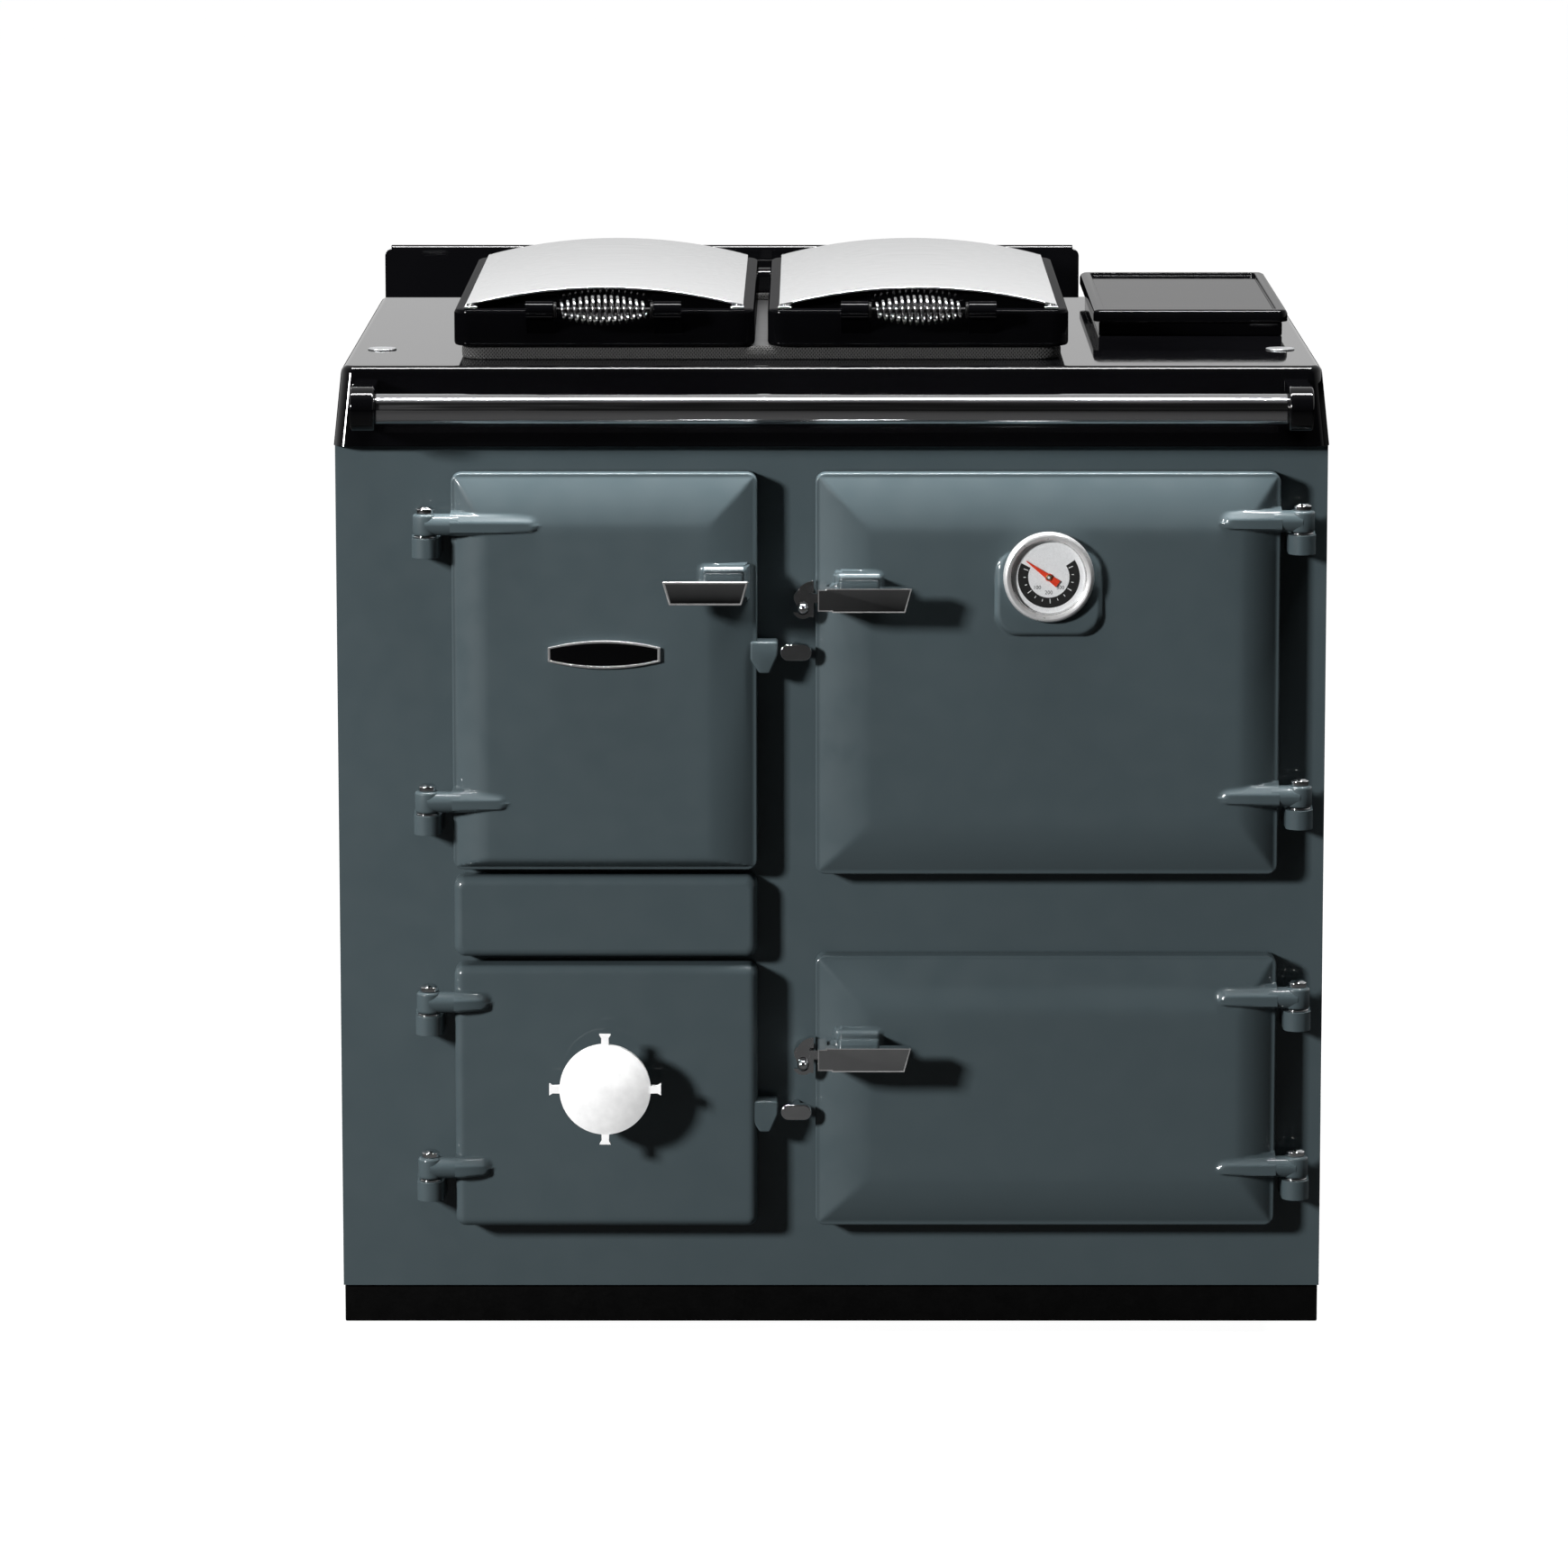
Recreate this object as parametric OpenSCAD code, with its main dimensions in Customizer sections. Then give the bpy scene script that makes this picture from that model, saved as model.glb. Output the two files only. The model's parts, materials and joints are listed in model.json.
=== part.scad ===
// Cast iron range cooker: a solid fuel firebox, two ovens, and a hotplate under two lids.
// X runs to the right, Y back from the front, Z up, and the origin lies under the middle of the whole.
// The sub-parts are drawn with Y = 0 on the face of the front plate, and in_place() moves them.

/* [Body] */
// Width of the body
body_w = 868; // [866:1:920]
// Depth from the face of the front plate to the back
body_d = 600; // [585:1:660]
// Height of the cooking top above the floor
top_z = 856; // [848:1:900]
// Height of the plinth
plinth_h = 34; // [24:1:50]
// Distance that the plinth stands in at the front
plinth_setback = 4; // [1:1:30]
// Distance that the plinth stands in at the sides
plinth_inset = 1; // [0:0.5:10]
// Wall of the plinth
plinth_t = 30; // [10:1:60]
// Thickness of the front plate
front_t = 10; // [6:1:14]
// Thickness of the side and back panels
panel_t = 5; // [3:0.5:8]
// Thickness of the base plate
base_t = 10; // [6:1:16]

/* [Top casting] */
// Height of its skirt
skirt_h = 69; // [60:1:76]
// Distance that the skirt's foot stands proud of the front plate
skirt_proud = 12; // [4:1:20]
// Distance that the skirt leans in at each side from foot to top
skirt_lean = 6; // [2:0.5:12]
// Thickness of the top
top_t = 10; // [7:1:14]
// Wall of the skirt at its foot
skirt_t = 20; // [16:1:26]
// Radius along the top edge
top_edge_r = 7; // [3:1:10]
// Radius of the upright corners
top_corner_r = 14; // [8:1:24]
// Diameter of the round plugs
plug_d = 25.5; // [18:0.5:30]
// Distance of each plug from the side of the body
plug_in = 34; // [30:1:60]
// Distance of the plugs behind the front edge
plug_y = 136; // [60:1:200]

/* [Splashback] */
// Height above the top
splash_h = 50; // [30:1:80]
// Thickness
splash_t = 8; // [4:1:10]
// Distance of its left end from the side of the body
splash_in = 10; // [8:1:60]
// Gap between its right end and the flue cover
splash_gap = 1; // [0.5:0.5:20]

/* [Towel rail] */
// Diameter of the rail
rail_d = 26; // [20:1:30]
// Height of its axis
rail_drop = 30; // [24:1:34]
// Distance of its axis in front of the front plate
rail_y = 62; // [50:1:68]
// Distance of the brackets' outer faces from the sides of the body
rail_in = 18; // [16:1:40]
// Width of each bracket
bracket_w = 21; // [16:1:30]
// Radius of the bracket's nose
bracket_r = 19; // [17:1:21]
// Depth of the socket in each bracket
socket_h = 14; // [8:1:15]

/* [Doors] */
// Width of the left doors
left_door_w = 267; // [250:1:274]
// Distance from the left side of the body to the left doors
left_margin = 102; // [98:1:104]
// Gap between the left and the right doors, whose ovens take what is left of the width
doors_gap = 51; // [50:1:60]
// Distance from the right doors to the right side of the body
right_margin = 42; // [40:1:60]
// Height of the ashpit door
ashpit_door_h = 235; // [225:1:250]
// Height of the filler panel, above which the firebox door takes what is left
filler_h = 72; // [60:1:90]
// Gap between the filler panel and the doors above and below it
filler_gap = 6.5; // [3:0.5:10]
// Height of the lower oven door
lower_door_h = 243; // [215:1:260]
// Gap between the oven doors, above which the main oven door takes what is left
oven_doors_gap = 73; // [60:1:90]
// Gap from the upper doors to the top casting
door_top_gap = 22; // [16:1:26]
// Gap from the plinth to the lower doors
door_foot_gap = 60; // [56:1:70]
// Distance that the filler panel stands proud
filler_proud = 24; // [16:1:28]
// Gap between a closed door and the front plate
door_gap = 3; // [2:0.5:5]
// Thickness of a door's lip
lip_t = 22; // [16:1:26]
// Width of the lip's flat
lip_w = 5; // [2:1:10]
// Width of the slope between the lip and the face
slope_w = 42; // [20:1:50]
// Width of the slope at the firebox door's foot, which is steeper
foot_slope = 10; // [6:1:42]
// Thickness of the padded doors
pillow_t = 34; // [30:1:38]
// Thickness of the flat ashpit door
flat_door_t = 27; // [24:1:30]
// Radius round the ashpit door's face
flat_edge_r = 8; // [3:1:10]
// Radius of the door's corners
door_corner_r = 9; // [6:1:14]
// Depth of the recess in the back of each door
recess_h = 11; // [8:1:12]
// Width of the rim round that recess
rim_w = 14; // [10:1:16]
// Width of the rope seal
rope_w = 12; // [8:1:14]
// Distance from a door's edge to the edge of the opening behind it
opening_inset = 35; // [32:1:40]
// Depth that a liner reaches into its opening
liner_reach = 14; // [6:1:20]
// Wall of a liner
liner_t = 3; // [2:0.5:5]
// Radius of a liner's corners
liner_r = 4; // [2:0.5:6]

/* [Hinges] */
// Distance of the hinge axes in front of the front plate
hinge_y = 30; // [27:1:34]
// Distance of the left axes from the edge of their doors
left_hinge_gap = 22; // [20:1:26]
// Distance of the right axes from the edge of their doors
right_hinge_gap = 18; // [17:1:20]
// Diameter of a hinge pin
pin_d = 8; // [6:0.5:9]
// Radius of a door's eye
eye_r = 11; // [9:0.5:12]
// Height of a door's eye
eye_h = 19; // [14:1:24]
// Thickness of the washer under an eye
washer_t = 2; // [1:0.5:4]
// Height of a fixed lug
lug_h = 17; // [12:1:24]
// Width of a fixed lug
lug_w = 26; // [22:1:28]
// Drop from the top edge to the upper eye, firebox door
firebox_eye_drop = 44; // [30:1:60]
// Rise from the bottom edge to the lower eye, firebox door
firebox_eye_rise = 62; // [50:1:80]
// Drop from the top edge to the upper eye, ashpit door
ashpit_eye_drop = 32; // [20:1:50]
// Rise from the bottom edge to the lower eye, ashpit door
ashpit_eye_rise = 54; // [40:1:70]
// Drop from the top edge to the upper eye, main oven door
main_eye_drop = 41; // [30:1:60]
// Rise from the bottom edge to the lower eye, main oven door
main_eye_rise = 71; // [50:1:80]
// Drop from the top edge to the upper eye, lower oven door
lower_eye_drop = 36; // [20:1:50]
// Rise from the bottom edge to the lower eye, lower oven door
lower_eye_rise = 55; // [40:1:70]
// Length of the firebox door's upper arm
long_arm = 100; // [80:1:110]
// Length of the other arms
short_arm = 72; // [60:1:90]

/* [Handles and catches] */
// Width of a pull at its top
pull_w = 75; // [60:1:84]
// Amount that a pull narrows at each end towards its bottom
pull_taper = 6; // [2:0.5:9]
// Height of a pull's face
pull_h = 21; // [16:1:26]
// Thickness of a pull
pull_t = 13; // [8:1:16]
// Gap behind a pull
pull_gap = 30; // [26:1:34]
// Distance from the firebox door's edge to its pull
firebox_pull_in = 7; // [2:1:20]
// Height of the firebox pull's middle below the door's top edge
firebox_pull_drop = 98; // [90:1:110]
// Height of the main oven handle's middle below the door's top edge
main_pull_drop = 104; // [90:1:120]
// Height of the lower oven handle's middle below the door's top edge
lower_pull_drop = 82; // [70:1:95]
// Width of the boss that carries a pull
boss_w = 36; // [28:1:44]
// Radius of the oven handles' pivots
pivot_r = 4; // [3:0.5:5]
// Radius of a keeper's ball
ball_r = 5; // [4:0.5:6]
// Distance from an oven door's edge to its keeper's ball
ball_out = 11; // [10:0.5:12]
// Drop from a handle's middle to the keeper's ball
ball_drop = 13; // [10:0.5:16]
// Length of a turn catch's grip
catch_l = 27; // [22:1:28]
// Width of a turn catch's grip
catch_w = 14; // [10:1:17]
// Height of the firebox catch below the door's top edge
firebox_catch_drop = 156; // [145:1:180]
// Height of the ashpit catch below the door's top edge
ashpit_catch_drop = 130; // [110:1:150]
// Distance of the catches from the left doors' edge
catch_out = 34; // [33.5:0.5:36]
// Distance that a door's ear reaches past its edge
ear_w = 18; // [14:1:18]

/* [Badge and thermometer] */
// Width of the badge plate
badge_w = 98; // [80:1:110]
// Height of the badge plate
badge_h = 24.6; // [18:0.2:30]
// Thickness of the badge plate
badge_t = 3; // [2:0.5:5]
// Height of the badge's middle below the door's top edge
badge_drop = 157.5; // [140:0.5:180]
// Diameter of the thermometer's bezel
bezel_d = 79; // [70:1:84]
// Diameter of its dial
dial_d = 64; // [50:1:66]
// Depth of its case in front of the pad
case_h = 9; // [7:1:14]
// Drop from the door's top edge to the thermometer's middle
dial_drop = 88.5; // [80:0.5:100]
// Angle of the needle at rest, from the right
needle_rest = 144; // [100:1:200]

/* [Air control] */
// Diameter of the spin wheel
wheel_d = 80; // [70:1:90]
// Reach of the wheel's four nubs from its axis
nub_reach = 49; // [46:1:54]
// Distance of the wheel's face in front of the ashpit door
wheel_out = 45; // [42:1:50]
// Thickness of the wheel
wheel_t = 13; // [10:1:18]
// Drop from the ashpit door's top edge to the wheel's axis
wheel_drop = 103; // [98:1:125]
// Diameter of the air hole in the door
air_d = 62; // [50:1:66]
// Diameter of the damper disc
damper_d = 74; // [70:1:84]
// Diameter of the spindle
spindle_d = 10; // [8:0.5:14]

/* [Hob] */
// Distance from the left side of the body to the left lid
hob_margin = 102; // [90:1:120]
// Gap between the lids
lid_gap = 11.5; // [8:0.5:14]
// Gap between the right lid and the flue box
hob_flue_gap = 34.5; // [28:0.5:50]
// Distance from the front edge to the lids
lid_y = 47; // [42:1:50]
// Gap between the top and the lids
lid_lift = 12.4; // [9:0.1:16]
// Height of a lid's casting
lid_h = 32.6; // [28:0.2:38]
// Radius of a lid's corners
lid_corner_r = 16; // [8:1:24]
// Distance that the bright cover stands in from the casting
cover_inset = 10; // [8:1:16]
// Rise of the cover's arch
cover_rise = 16; // [10:1:24]
// Height of the cover's straight edge
cover_edge = 3; // [2:0.5:6]
// Thickness of the cover
cover_t = 2; // [1:0.5:3]
// Distance that the rope lies in from the lids' edge
rope_inset = 6; // [3:1:12]
// Width of the hotplate's flange
hot_flange = 10; // [6:1:14]
// Height of the hotplate above the top
hot_rise = 6; // [4:1:8]

/* [Lid hinge and handles] */
// Diameter of the hinge rod
rod_d = 6; // [5:0.5:7]
// Distance of the rod behind the lids
rod_back = 16; // [12:1:18]
// Distance of the rod in front of the back, the lids taking what is left of the depth
rod_room = 55; // [40:1:90]
// Height of the rod above the top
rod_rise = 25; // [20:1:28]
// Distance of the coil's axis in front of the lid's casting
coil_out = 17; // [15:1:20]
// Height of the coil's axis above the lid casting's foot
coil_rise = 33.6; // [28:0.2:34]
// Length between the arms
coil_l = 88; // [70:1:110]
// Diameter of the coil at its ends
coil_end_d = 13.4; // [12:0.2:16]
// Diameter of the coil at its middle
coil_mid_d = 27; // [20:1:28]
// Diameter of the wire
wire_d = 2.8; // [2:0.1:3]
// Number of turns
turns = 14; // [8:1:14]
// Diameter of the handle's core
core_d = 5; // [4:0.5:5]
// Width of each arm
arm_w = 24; // [14:1:30]

/* [Flue] */
// Distance from the flue box's flange to the right side of the body
flue_margin = 25; // [18:1:30]
// Width of the flange
flue_w = 166; // [150:1:170]
// Distance from the front edge to the flange
flue_y0 = 250; // [240:1:300]
// Height of the flange above the top
flue_rise = 13; // [8:1:20]
// Wall of the flue box
flue_t = 6; // [4:1:8]
// Distance that the cover overhangs the flange
cover_over = 5; // [2:1:6]
// Thickness of the flue cover
flue_cover_t = 11; // [8:1:16]
// Bore of the flue outlet
spigot_bore = 127; // [100:1:130]
// Length of the spigot behind the body
spigot_l = 40; // [25:1:80]
// Height of the outlet's axis below the top casting's foot
spigot_drop = 114; // [113:1:130]
// Gap from the ovens to the flue well behind them
well_gap = 30; // [20:1:60]
// Distance from the flange's front to the hole that lets the gases in
inlet_y = 50; // [30:1:80]
// Length of that hole
inlet_l = 170; // [100:1:200]

/* [Ovens and firebox] */
// Depth of the ovens behind the front plate
oven_d = 430; // [380:1:440]
// Wall of the ovens
oven_t = 4; // [3:0.5:6]
// Width of the ovens' front flange
oven_flange = 12; // [8:1:16]
// Height of the main oven's shelf above its floor
main_shelf_z = 110; // [60:1:200]
// Height of the lower oven's shelf above its floor
lower_shelf_z = 70; // [40:1:110]
// Diameter of a shelf's wires
shelf_wire = 6; // [5:0.5:8]
// Depth of the firebox casting
firebox_d = 480; // [420:1:500]
// Wall of the firebox casting
firebox_t = 8; // [6:1:12]
// Thickness of the firebricks
brick_t = 30; // [20:1:36]
// Thickness of the grate
grate_t = 14; // [10:1:20]
// Number of slots in the grate
grate_slots = 12; // [6:1:14]
// Height of the ash pan
pan_h = 62; // [40:1:70]
// Wall of the ash pan
pan_t = 2; // [1:0.5:4]

/* [Hidden] */

enamel = "#4a5458";
black = "#141518";
chrome = "#c9ccce";
steel = "#9aa0a2";
iron = "#2b2b2d";
rope_grey = "#55524c";

// Clearances: between moving pieces, of a running fit, of a seated fit, and a cut's overrun
clear = 0.3;
run_fit = 0.05;
seat_fit = 1;
over = 1;

body_top = top_z - skirt_h;
half_w = body_w / 2;
rail_z = top_z - rail_drop;
upper_z1 = body_top - door_top_gap;
lower_z0 = plinth_h + door_foot_gap;
right_door_w = body_w - left_margin - left_door_w - doors_gap - right_margin;
left_door_x = -half_w + left_margin + left_door_w / 2;
right_door_x = half_w - right_margin - right_door_w / 2;
firebox_door_h = upper_z1 - lower_z0 - ashpit_door_h - filler_h - 2 * filler_gap;
main_door_h = upper_z1 - lower_z0 - lower_door_h - oven_doors_gap;
plug_x = half_w - plug_in;
rail_reach = half_w - rail_in;
reach_front = rail_y + bracket_r;
reach_back = body_d + spigot_l;
front_y = (reach_front - reach_back) / 2;

// A door is [left edge, width, foot, height, side of its hinge, upper eye, lower eye]
firebox_door = [left_door_x - left_door_w / 2, left_door_w, upper_z1 - firebox_door_h, firebox_door_h, -1,
  upper_z1 - firebox_eye_drop, upper_z1 - firebox_door_h + firebox_eye_rise];
ashpit_door = [left_door_x - left_door_w / 2, left_door_w, lower_z0, ashpit_door_h, -1,
  lower_z0 + ashpit_door_h - ashpit_eye_drop, lower_z0 + ashpit_eye_rise];
main_door = [right_door_x - right_door_w / 2, right_door_w, upper_z1 - main_door_h, main_door_h, 1,
  upper_z1 - main_eye_drop, upper_z1 - main_door_h + main_eye_rise];
lower_door = [right_door_x - right_door_w / 2, right_door_w, lower_z0, lower_door_h, 1,
  lower_z0 + lower_door_h - lower_eye_drop, lower_z0 + lower_eye_rise];
doors = [firebox_door, ashpit_door, main_door, lower_door];

function door_mid(d) = d[0] + d[1] / 2;
function door_top(d) = d[2] + d[3];
function hinge_x(d) = d[4] < 0 ? d[0] - left_hinge_gap : d[0] + d[1] + right_hinge_gap;

// Places of the fittings, as [x, z]
catch_x = left_door_x + left_door_w / 2 + catch_out;
firebox_catch_at = [catch_x, upper_z1 - firebox_catch_drop];
ashpit_catch_at = [catch_x, door_top(ashpit_door) - ashpit_catch_drop];
pivot_in = 20;
main_pivot = [main_door[0] + pivot_in, upper_z1 - main_pull_drop];
lower_pivot = [lower_door[0] + pivot_in, door_top(lower_door) - lower_pull_drop];
dial_at = [right_door_x, upper_z1 - dial_drop];
wheel_at = [left_door_x, door_top(ashpit_door) - wheel_drop];
face_y = -door_gap - pillow_t;
ashpit_face_y = -door_gap - flat_door_t;
recess_y = -door_gap - recess_h;
pad_h = 4;
pad_y = face_y - pad_h;
pull_y = face_y - pull_gap;

// The lids
flue_x0 = half_w - flue_margin - flue_w;
hob_w = flue_x0 - hob_flue_gap + half_w - hob_margin;
hob_x = hob_margin - half_w + hob_w / 2;
lid_w = (hob_w - lid_gap) / 2;
lid_d = body_d - lid_y - rod_back - rod_room;
left_lid_x = hob_x - (lid_w + lid_gap) / 2;
right_lid_x = hob_x + (lid_w + lid_gap) / 2;
lid_z = top_z + lid_lift;
lid_top = lid_z + lid_h;
hinge_rod_y = lid_y + lid_d + rod_back;
hinge_rod_z = top_z + rod_rise;
coil_y = lid_y - coil_out;
coil_z = lid_z + coil_rise;
cover_w = lid_w - 2 * cover_inset;
arch_r = (cover_w * cover_w / 4 + cover_rise * cover_rise) / (2 * cover_rise);

// The flue
flue_y1 = body_d - panel_t;
flue_depth = 42;
flue_z0 = body_top - flue_depth;
spigot_x = flue_x0 + flue_w / 2;
spigot_z = body_top - spigot_drop;
spigot_t = 6;
well_y = front_t + oven_d + well_gap;

// The firebox
firebox_x0 = firebox_door[0] + 14;
firebox_w = left_door_w - 28;
ledge_z = firebox_door[2] + 4;
ledge_w = brick_t + 14;
ledge_t = 10;
ashpit_floor = ashpit_door[2] + opening_inset - 4;

// Small fixed sizes of the fittings
skirt_over = 1;
rear_corner_r = 3;
splash_corner_r = 6;
plug_lip = 2.5;
catch_stem_r = 4;
catch_t = 9;
ear_proud = 3;
keeper_gap = 1.5;
keeper_t = 8.8;
keeper_r = 16;
keeper_back = 4.2;
keeper_y = face_y + keeper_back;
hook_t = 5;
hook_block_w = 7;
hook_cut = 20;
hook_open = 3.2;
pivot_l = 20;
boss_foot = pillow_t - lip_t;
boss_rise = 6;
pocket_inset = 40;
face_wall = 8;
liner_in = 5;
hub_h = 10;
damper_travel = 8;
pad_w = 91;
pad_tall = 98;
pad_r = 22;
pad_up = -2.5;
dial_z = 2;
glass_z = 6.4;
hot_r = 10;
hot_gap = 2;
hot_depth = 16;
arm_r = 8;
core_grip = 10;
ferrule_t = 3;
ferrule_r = 7.2;
knuckle_in = 34;
knuckle_w = 20;
knuckle_r = 8;
lid_floor = 8;
bulkhead_t = 5;
mid_lug_w = 19;
outer_lug_w = 14;
flue_lip = 3;
flue_back = body_d - top_t - 2;
spigot_r = spigot_bore / 2 + spigot_t;
oven_head = 12;
runner_w = 6;
shelf_wires = 13;
shelf_in = 30;
runner_in = 20;
front_ledge = 20;
fire_head = 12;
brick_head = 30;
lug_top = -eye_h / 2 - clear - washer_t;

module in_place() {
  translate([0, front_y, 0]) children();
}

// Points round a rectangle, counterclockwise: corners of radius r, or rb at the back, in n steps each
function rounded(w, h, r, n, rb) =
  [for (q = [0:3]) for (i = [0:n]) let (a = 90 * (q + i / n), c = q < 2 ? rb : r)
    [(q == 0 || q == 3 ? 1 : -1) * (w / 2 - c) + c * cos(a), (q < 2 ? 1 : -1) * (h / 2 - c) + c * sin(a)]];

// The same points in space, at height z and moved along y
function ring(w, h, r, z, y = 0, n = 4, rb = 0) =
  [for (p = rounded(w, h, r, n, rb > 0 ? rb : r)) [p[0], p[1] + y, z]];

// A solid skinned over rings that all have the same number of points, lowest ring first
module loft(rings) {
  n = len(rings[0]);
  m = len(rings);
  side = [for (k = [0:m - 2]) for (i = [0:n - 1]) let (j = (i + 1) % n)
    each [[k * n + i, (k + 1) * n + i, (k + 1) * n + j], [k * n + i, (k + 1) * n + j, k * n + j]]];
  foot = [for (i = [0:n - 1]) i];
  head = [for (i = [n - 1:-1:0]) (m - 1) * n + i];
  polyhedron(points = [for (r = rings) each r], faces = concat([foot], side, [head]));
}

// A block with rounded upright corners, centred in x and y
module slab(w, h, r, t) {
  linear_extrude(t) {
    square([w - 2 * r, h], center = true);
    square([w, h - 2 * r], center = true);
    for (x = [-1, 1]) for (y = [-1, 1]) translate([x * (w / 2 - r), y * (h / 2 - r)]) circle(r, $fn = 48);
  }
}

// A flat frame with rounded corners, wall t and height h
module frame(w, d, r, t, h) {
  difference() {
    slab(w, d, r, h);
    translate([0, 0, -over]) slab(w - 2 * t, d - 2 * t, max(r - t, 2), h + 2 * over);
  }
}

// A cylinder along x or along y
module rod_x(l, r) {
  rotate([0, 90, 0]) cylinder(h = l, r = r, $fn = 48);
}

module rod_y(l, r) {
  rotate([-90, 0, 0]) cylinder(h = l, r = r, $fn = 64);
}

// Stands what is drawn flat on the front, facing forwards, its z = 0 at depth y
module facing(x, y, z) {
  translate([x, y, z]) rotate([90, 0, 0]) children();
}

// Extrudes a profile drawn in y and z across the width, from x
module across(x, w) {
  translate([x, 0, 0]) rotate([90, 0, 90]) linear_extrude(w) children();
}

/* Body */

module plinth() {
  w = body_w - 2 * plinth_inset;
  d = body_d - plinth_setback;
  color(black) in_place() difference() {
    translate([-w / 2, plinth_setback, 0]) cube([w, d, plinth_h]);
    translate([-w / 2 + plinth_t, plinth_setback + plinth_t, -over])
      cube([w - 2 * plinth_t, d - 2 * plinth_t, plinth_h + 2 * over]);
  }
}

module base_plate() {
  color(iron) in_place() translate([-half_w + panel_t, front_t, plinth_h])
    cube([body_w - 2 * panel_t, body_d - front_t - panel_t, base_t]);
}

// The opening in the front plate behind a door, from y0 to y1
module opening(d, y0, y1) {
  translate([d[0] + opening_inset, y0, d[2] + opening_inset])
    cube([d[1] - 2 * opening_inset, y1 - y0, d[3] - 2 * opening_inset]);
}

module front_plate() {
  color(enamel) in_place() difference() {
    translate([-half_w, 0, plinth_h]) cube([body_w, front_t, body_top - plinth_h]);
    for (d = doors) opening(d, -over, front_t + over);
    for (p = [firebox_catch_at, ashpit_catch_at])
      translate([p[0], -over, p[1]]) rod_y(front_t + 2 * over, catch_stem_r + run_fit);
  }
}

module side_panel(x) {
  color(enamel) in_place() translate([x, front_t, plinth_h])
    cube([panel_t, body_d - front_t, body_top - plinth_h]);
}

module left_side_panel() {
  side_panel(-half_w);
}

module right_side_panel() {
  side_panel(half_w - panel_t);
}

module back_panel() {
  color(iron) in_place() difference() {
    translate([-half_w + panel_t, flue_y1, plinth_h])
      cube([body_w - 2 * panel_t, panel_t, body_top - plinth_h]);
    translate([spigot_x, flue_y1 - over, spigot_z]) rod_y(panel_t + 2 * over, spigot_r + seat_fit);
  }
}

module insulation_boards() {
  z = plinth_h + base_t;
  y = front_t + oven_t + seat_fit;
  h = flue_z0 - oven_head - z;
  left = firebox_x0 - seat_fit;
  mid = [firebox_x0 + firebox_w + seat_fit, main_door[0] + opening_inset - oven_flange - seat_fit];
  right = main_door[0] + main_door[1] - opening_inset + oven_flange + seat_fit;
  color("#b8a878") in_place() {
    translate([-half_w + panel_t, y, z]) cube([left + half_w - panel_t, oven_d, h]);
    translate([mid[0], y, z]) cube([mid[1] - mid[0], oven_d, h]);
    translate([right, y, z]) cube([half_w - panel_t - right, oven_d, h]);
  }
}

/* Top casting */

// How far up the leaning part of the skirt a height lies, from 0 to 1
function lean_at(z) = (z - body_top) / (skirt_h - top_edge_r);
function skirt_y(z) = -skirt_proud * (1 - lean_at(z));

// The outline of the top casting at height z, drawn in by an inset at the front and the sides
function top_ring(z, lean, inset) =
  let (hw = half_w + skirt_over - skirt_lean * lean - inset, y0 = -skirt_proud * (1 - lean) + inset)
    ring(2 * hw, body_d - y0, top_corner_r - inset, z, (body_d + y0) / 2, 5, rear_corner_r);

module top_plate() {
  hot = hotplate_size(seat_fit);
  inner_w = 2 * (half_w + skirt_over - skirt_t);
  inner_y = skirt_t - skirt_proud;
  color(black) in_place() difference() {
    loft(concat([top_ring(body_top, 0, 0)], [for (a = [0:22.5:90])
      top_ring(top_z - top_edge_r * (1 - sin(a)), 1, top_edge_r * (1 - cos(a)))]));
    translate([-inner_w / 2, inner_y, body_top - over])
      cube([inner_w, body_d - top_t - inner_y, skirt_h - top_t + over]);
    translate([hob_x, lid_y + lid_d / 2, top_z - top_t - over]) slab(hot[0], hot[1], hot_r, top_t + 2 * over);
    flue_body(seat_fit, top_z - top_t - over, top_z + over);
    for (x = [-plug_x, plug_x]) translate([x, plug_y, top_z - top_t - over])
      cylinder(h = top_t + 2 * over, d = plug_d - plug_lip, $fn = 48);
  }
}

module top_plugs() {
  color(steel) in_place() for (x = [-plug_x, plug_x]) translate([x, plug_y, top_z]) {
    cylinder(h = 1.2, d = plug_d, $fn = 64);
    translate([0, 0, -6]) cylinder(h = 6, d = plug_d - plug_lip - 0.2, $fn = 48);
  }
}

module splashback() {
  roll_r = splash_t / 2;
  x0 = splash_in - half_w;
  w = flue_x0 - cover_over - splash_gap - x0;
  color(black) in_place() translate([x0, body_d - splash_t, top_z]) {
    facing(w / 2, splash_t, (splash_h - roll_r) / 2)
      slab_square_foot(w, splash_h - roll_r, splash_corner_r, splash_t);
    translate([splash_corner_r, roll_r, splash_h - roll_r]) rod_x(w - 2 * splash_corner_r, roll_r);
  }
}

// A slab that stands on a square foot and is rounded at its two top corners
module slab_square_foot(w, h, r, t) {
  linear_extrude(t) {
    translate([-w / 2, -h / 2]) square([w, h - r]);
    translate([r - w / 2, -h / 2]) square([w - 2 * r, h]);
    for (x = [-1, 1]) translate([x * (w / 2 - r), h / 2 - r]) circle(r, $fn = 48);
  }
}

/* Towel rail */

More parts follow.
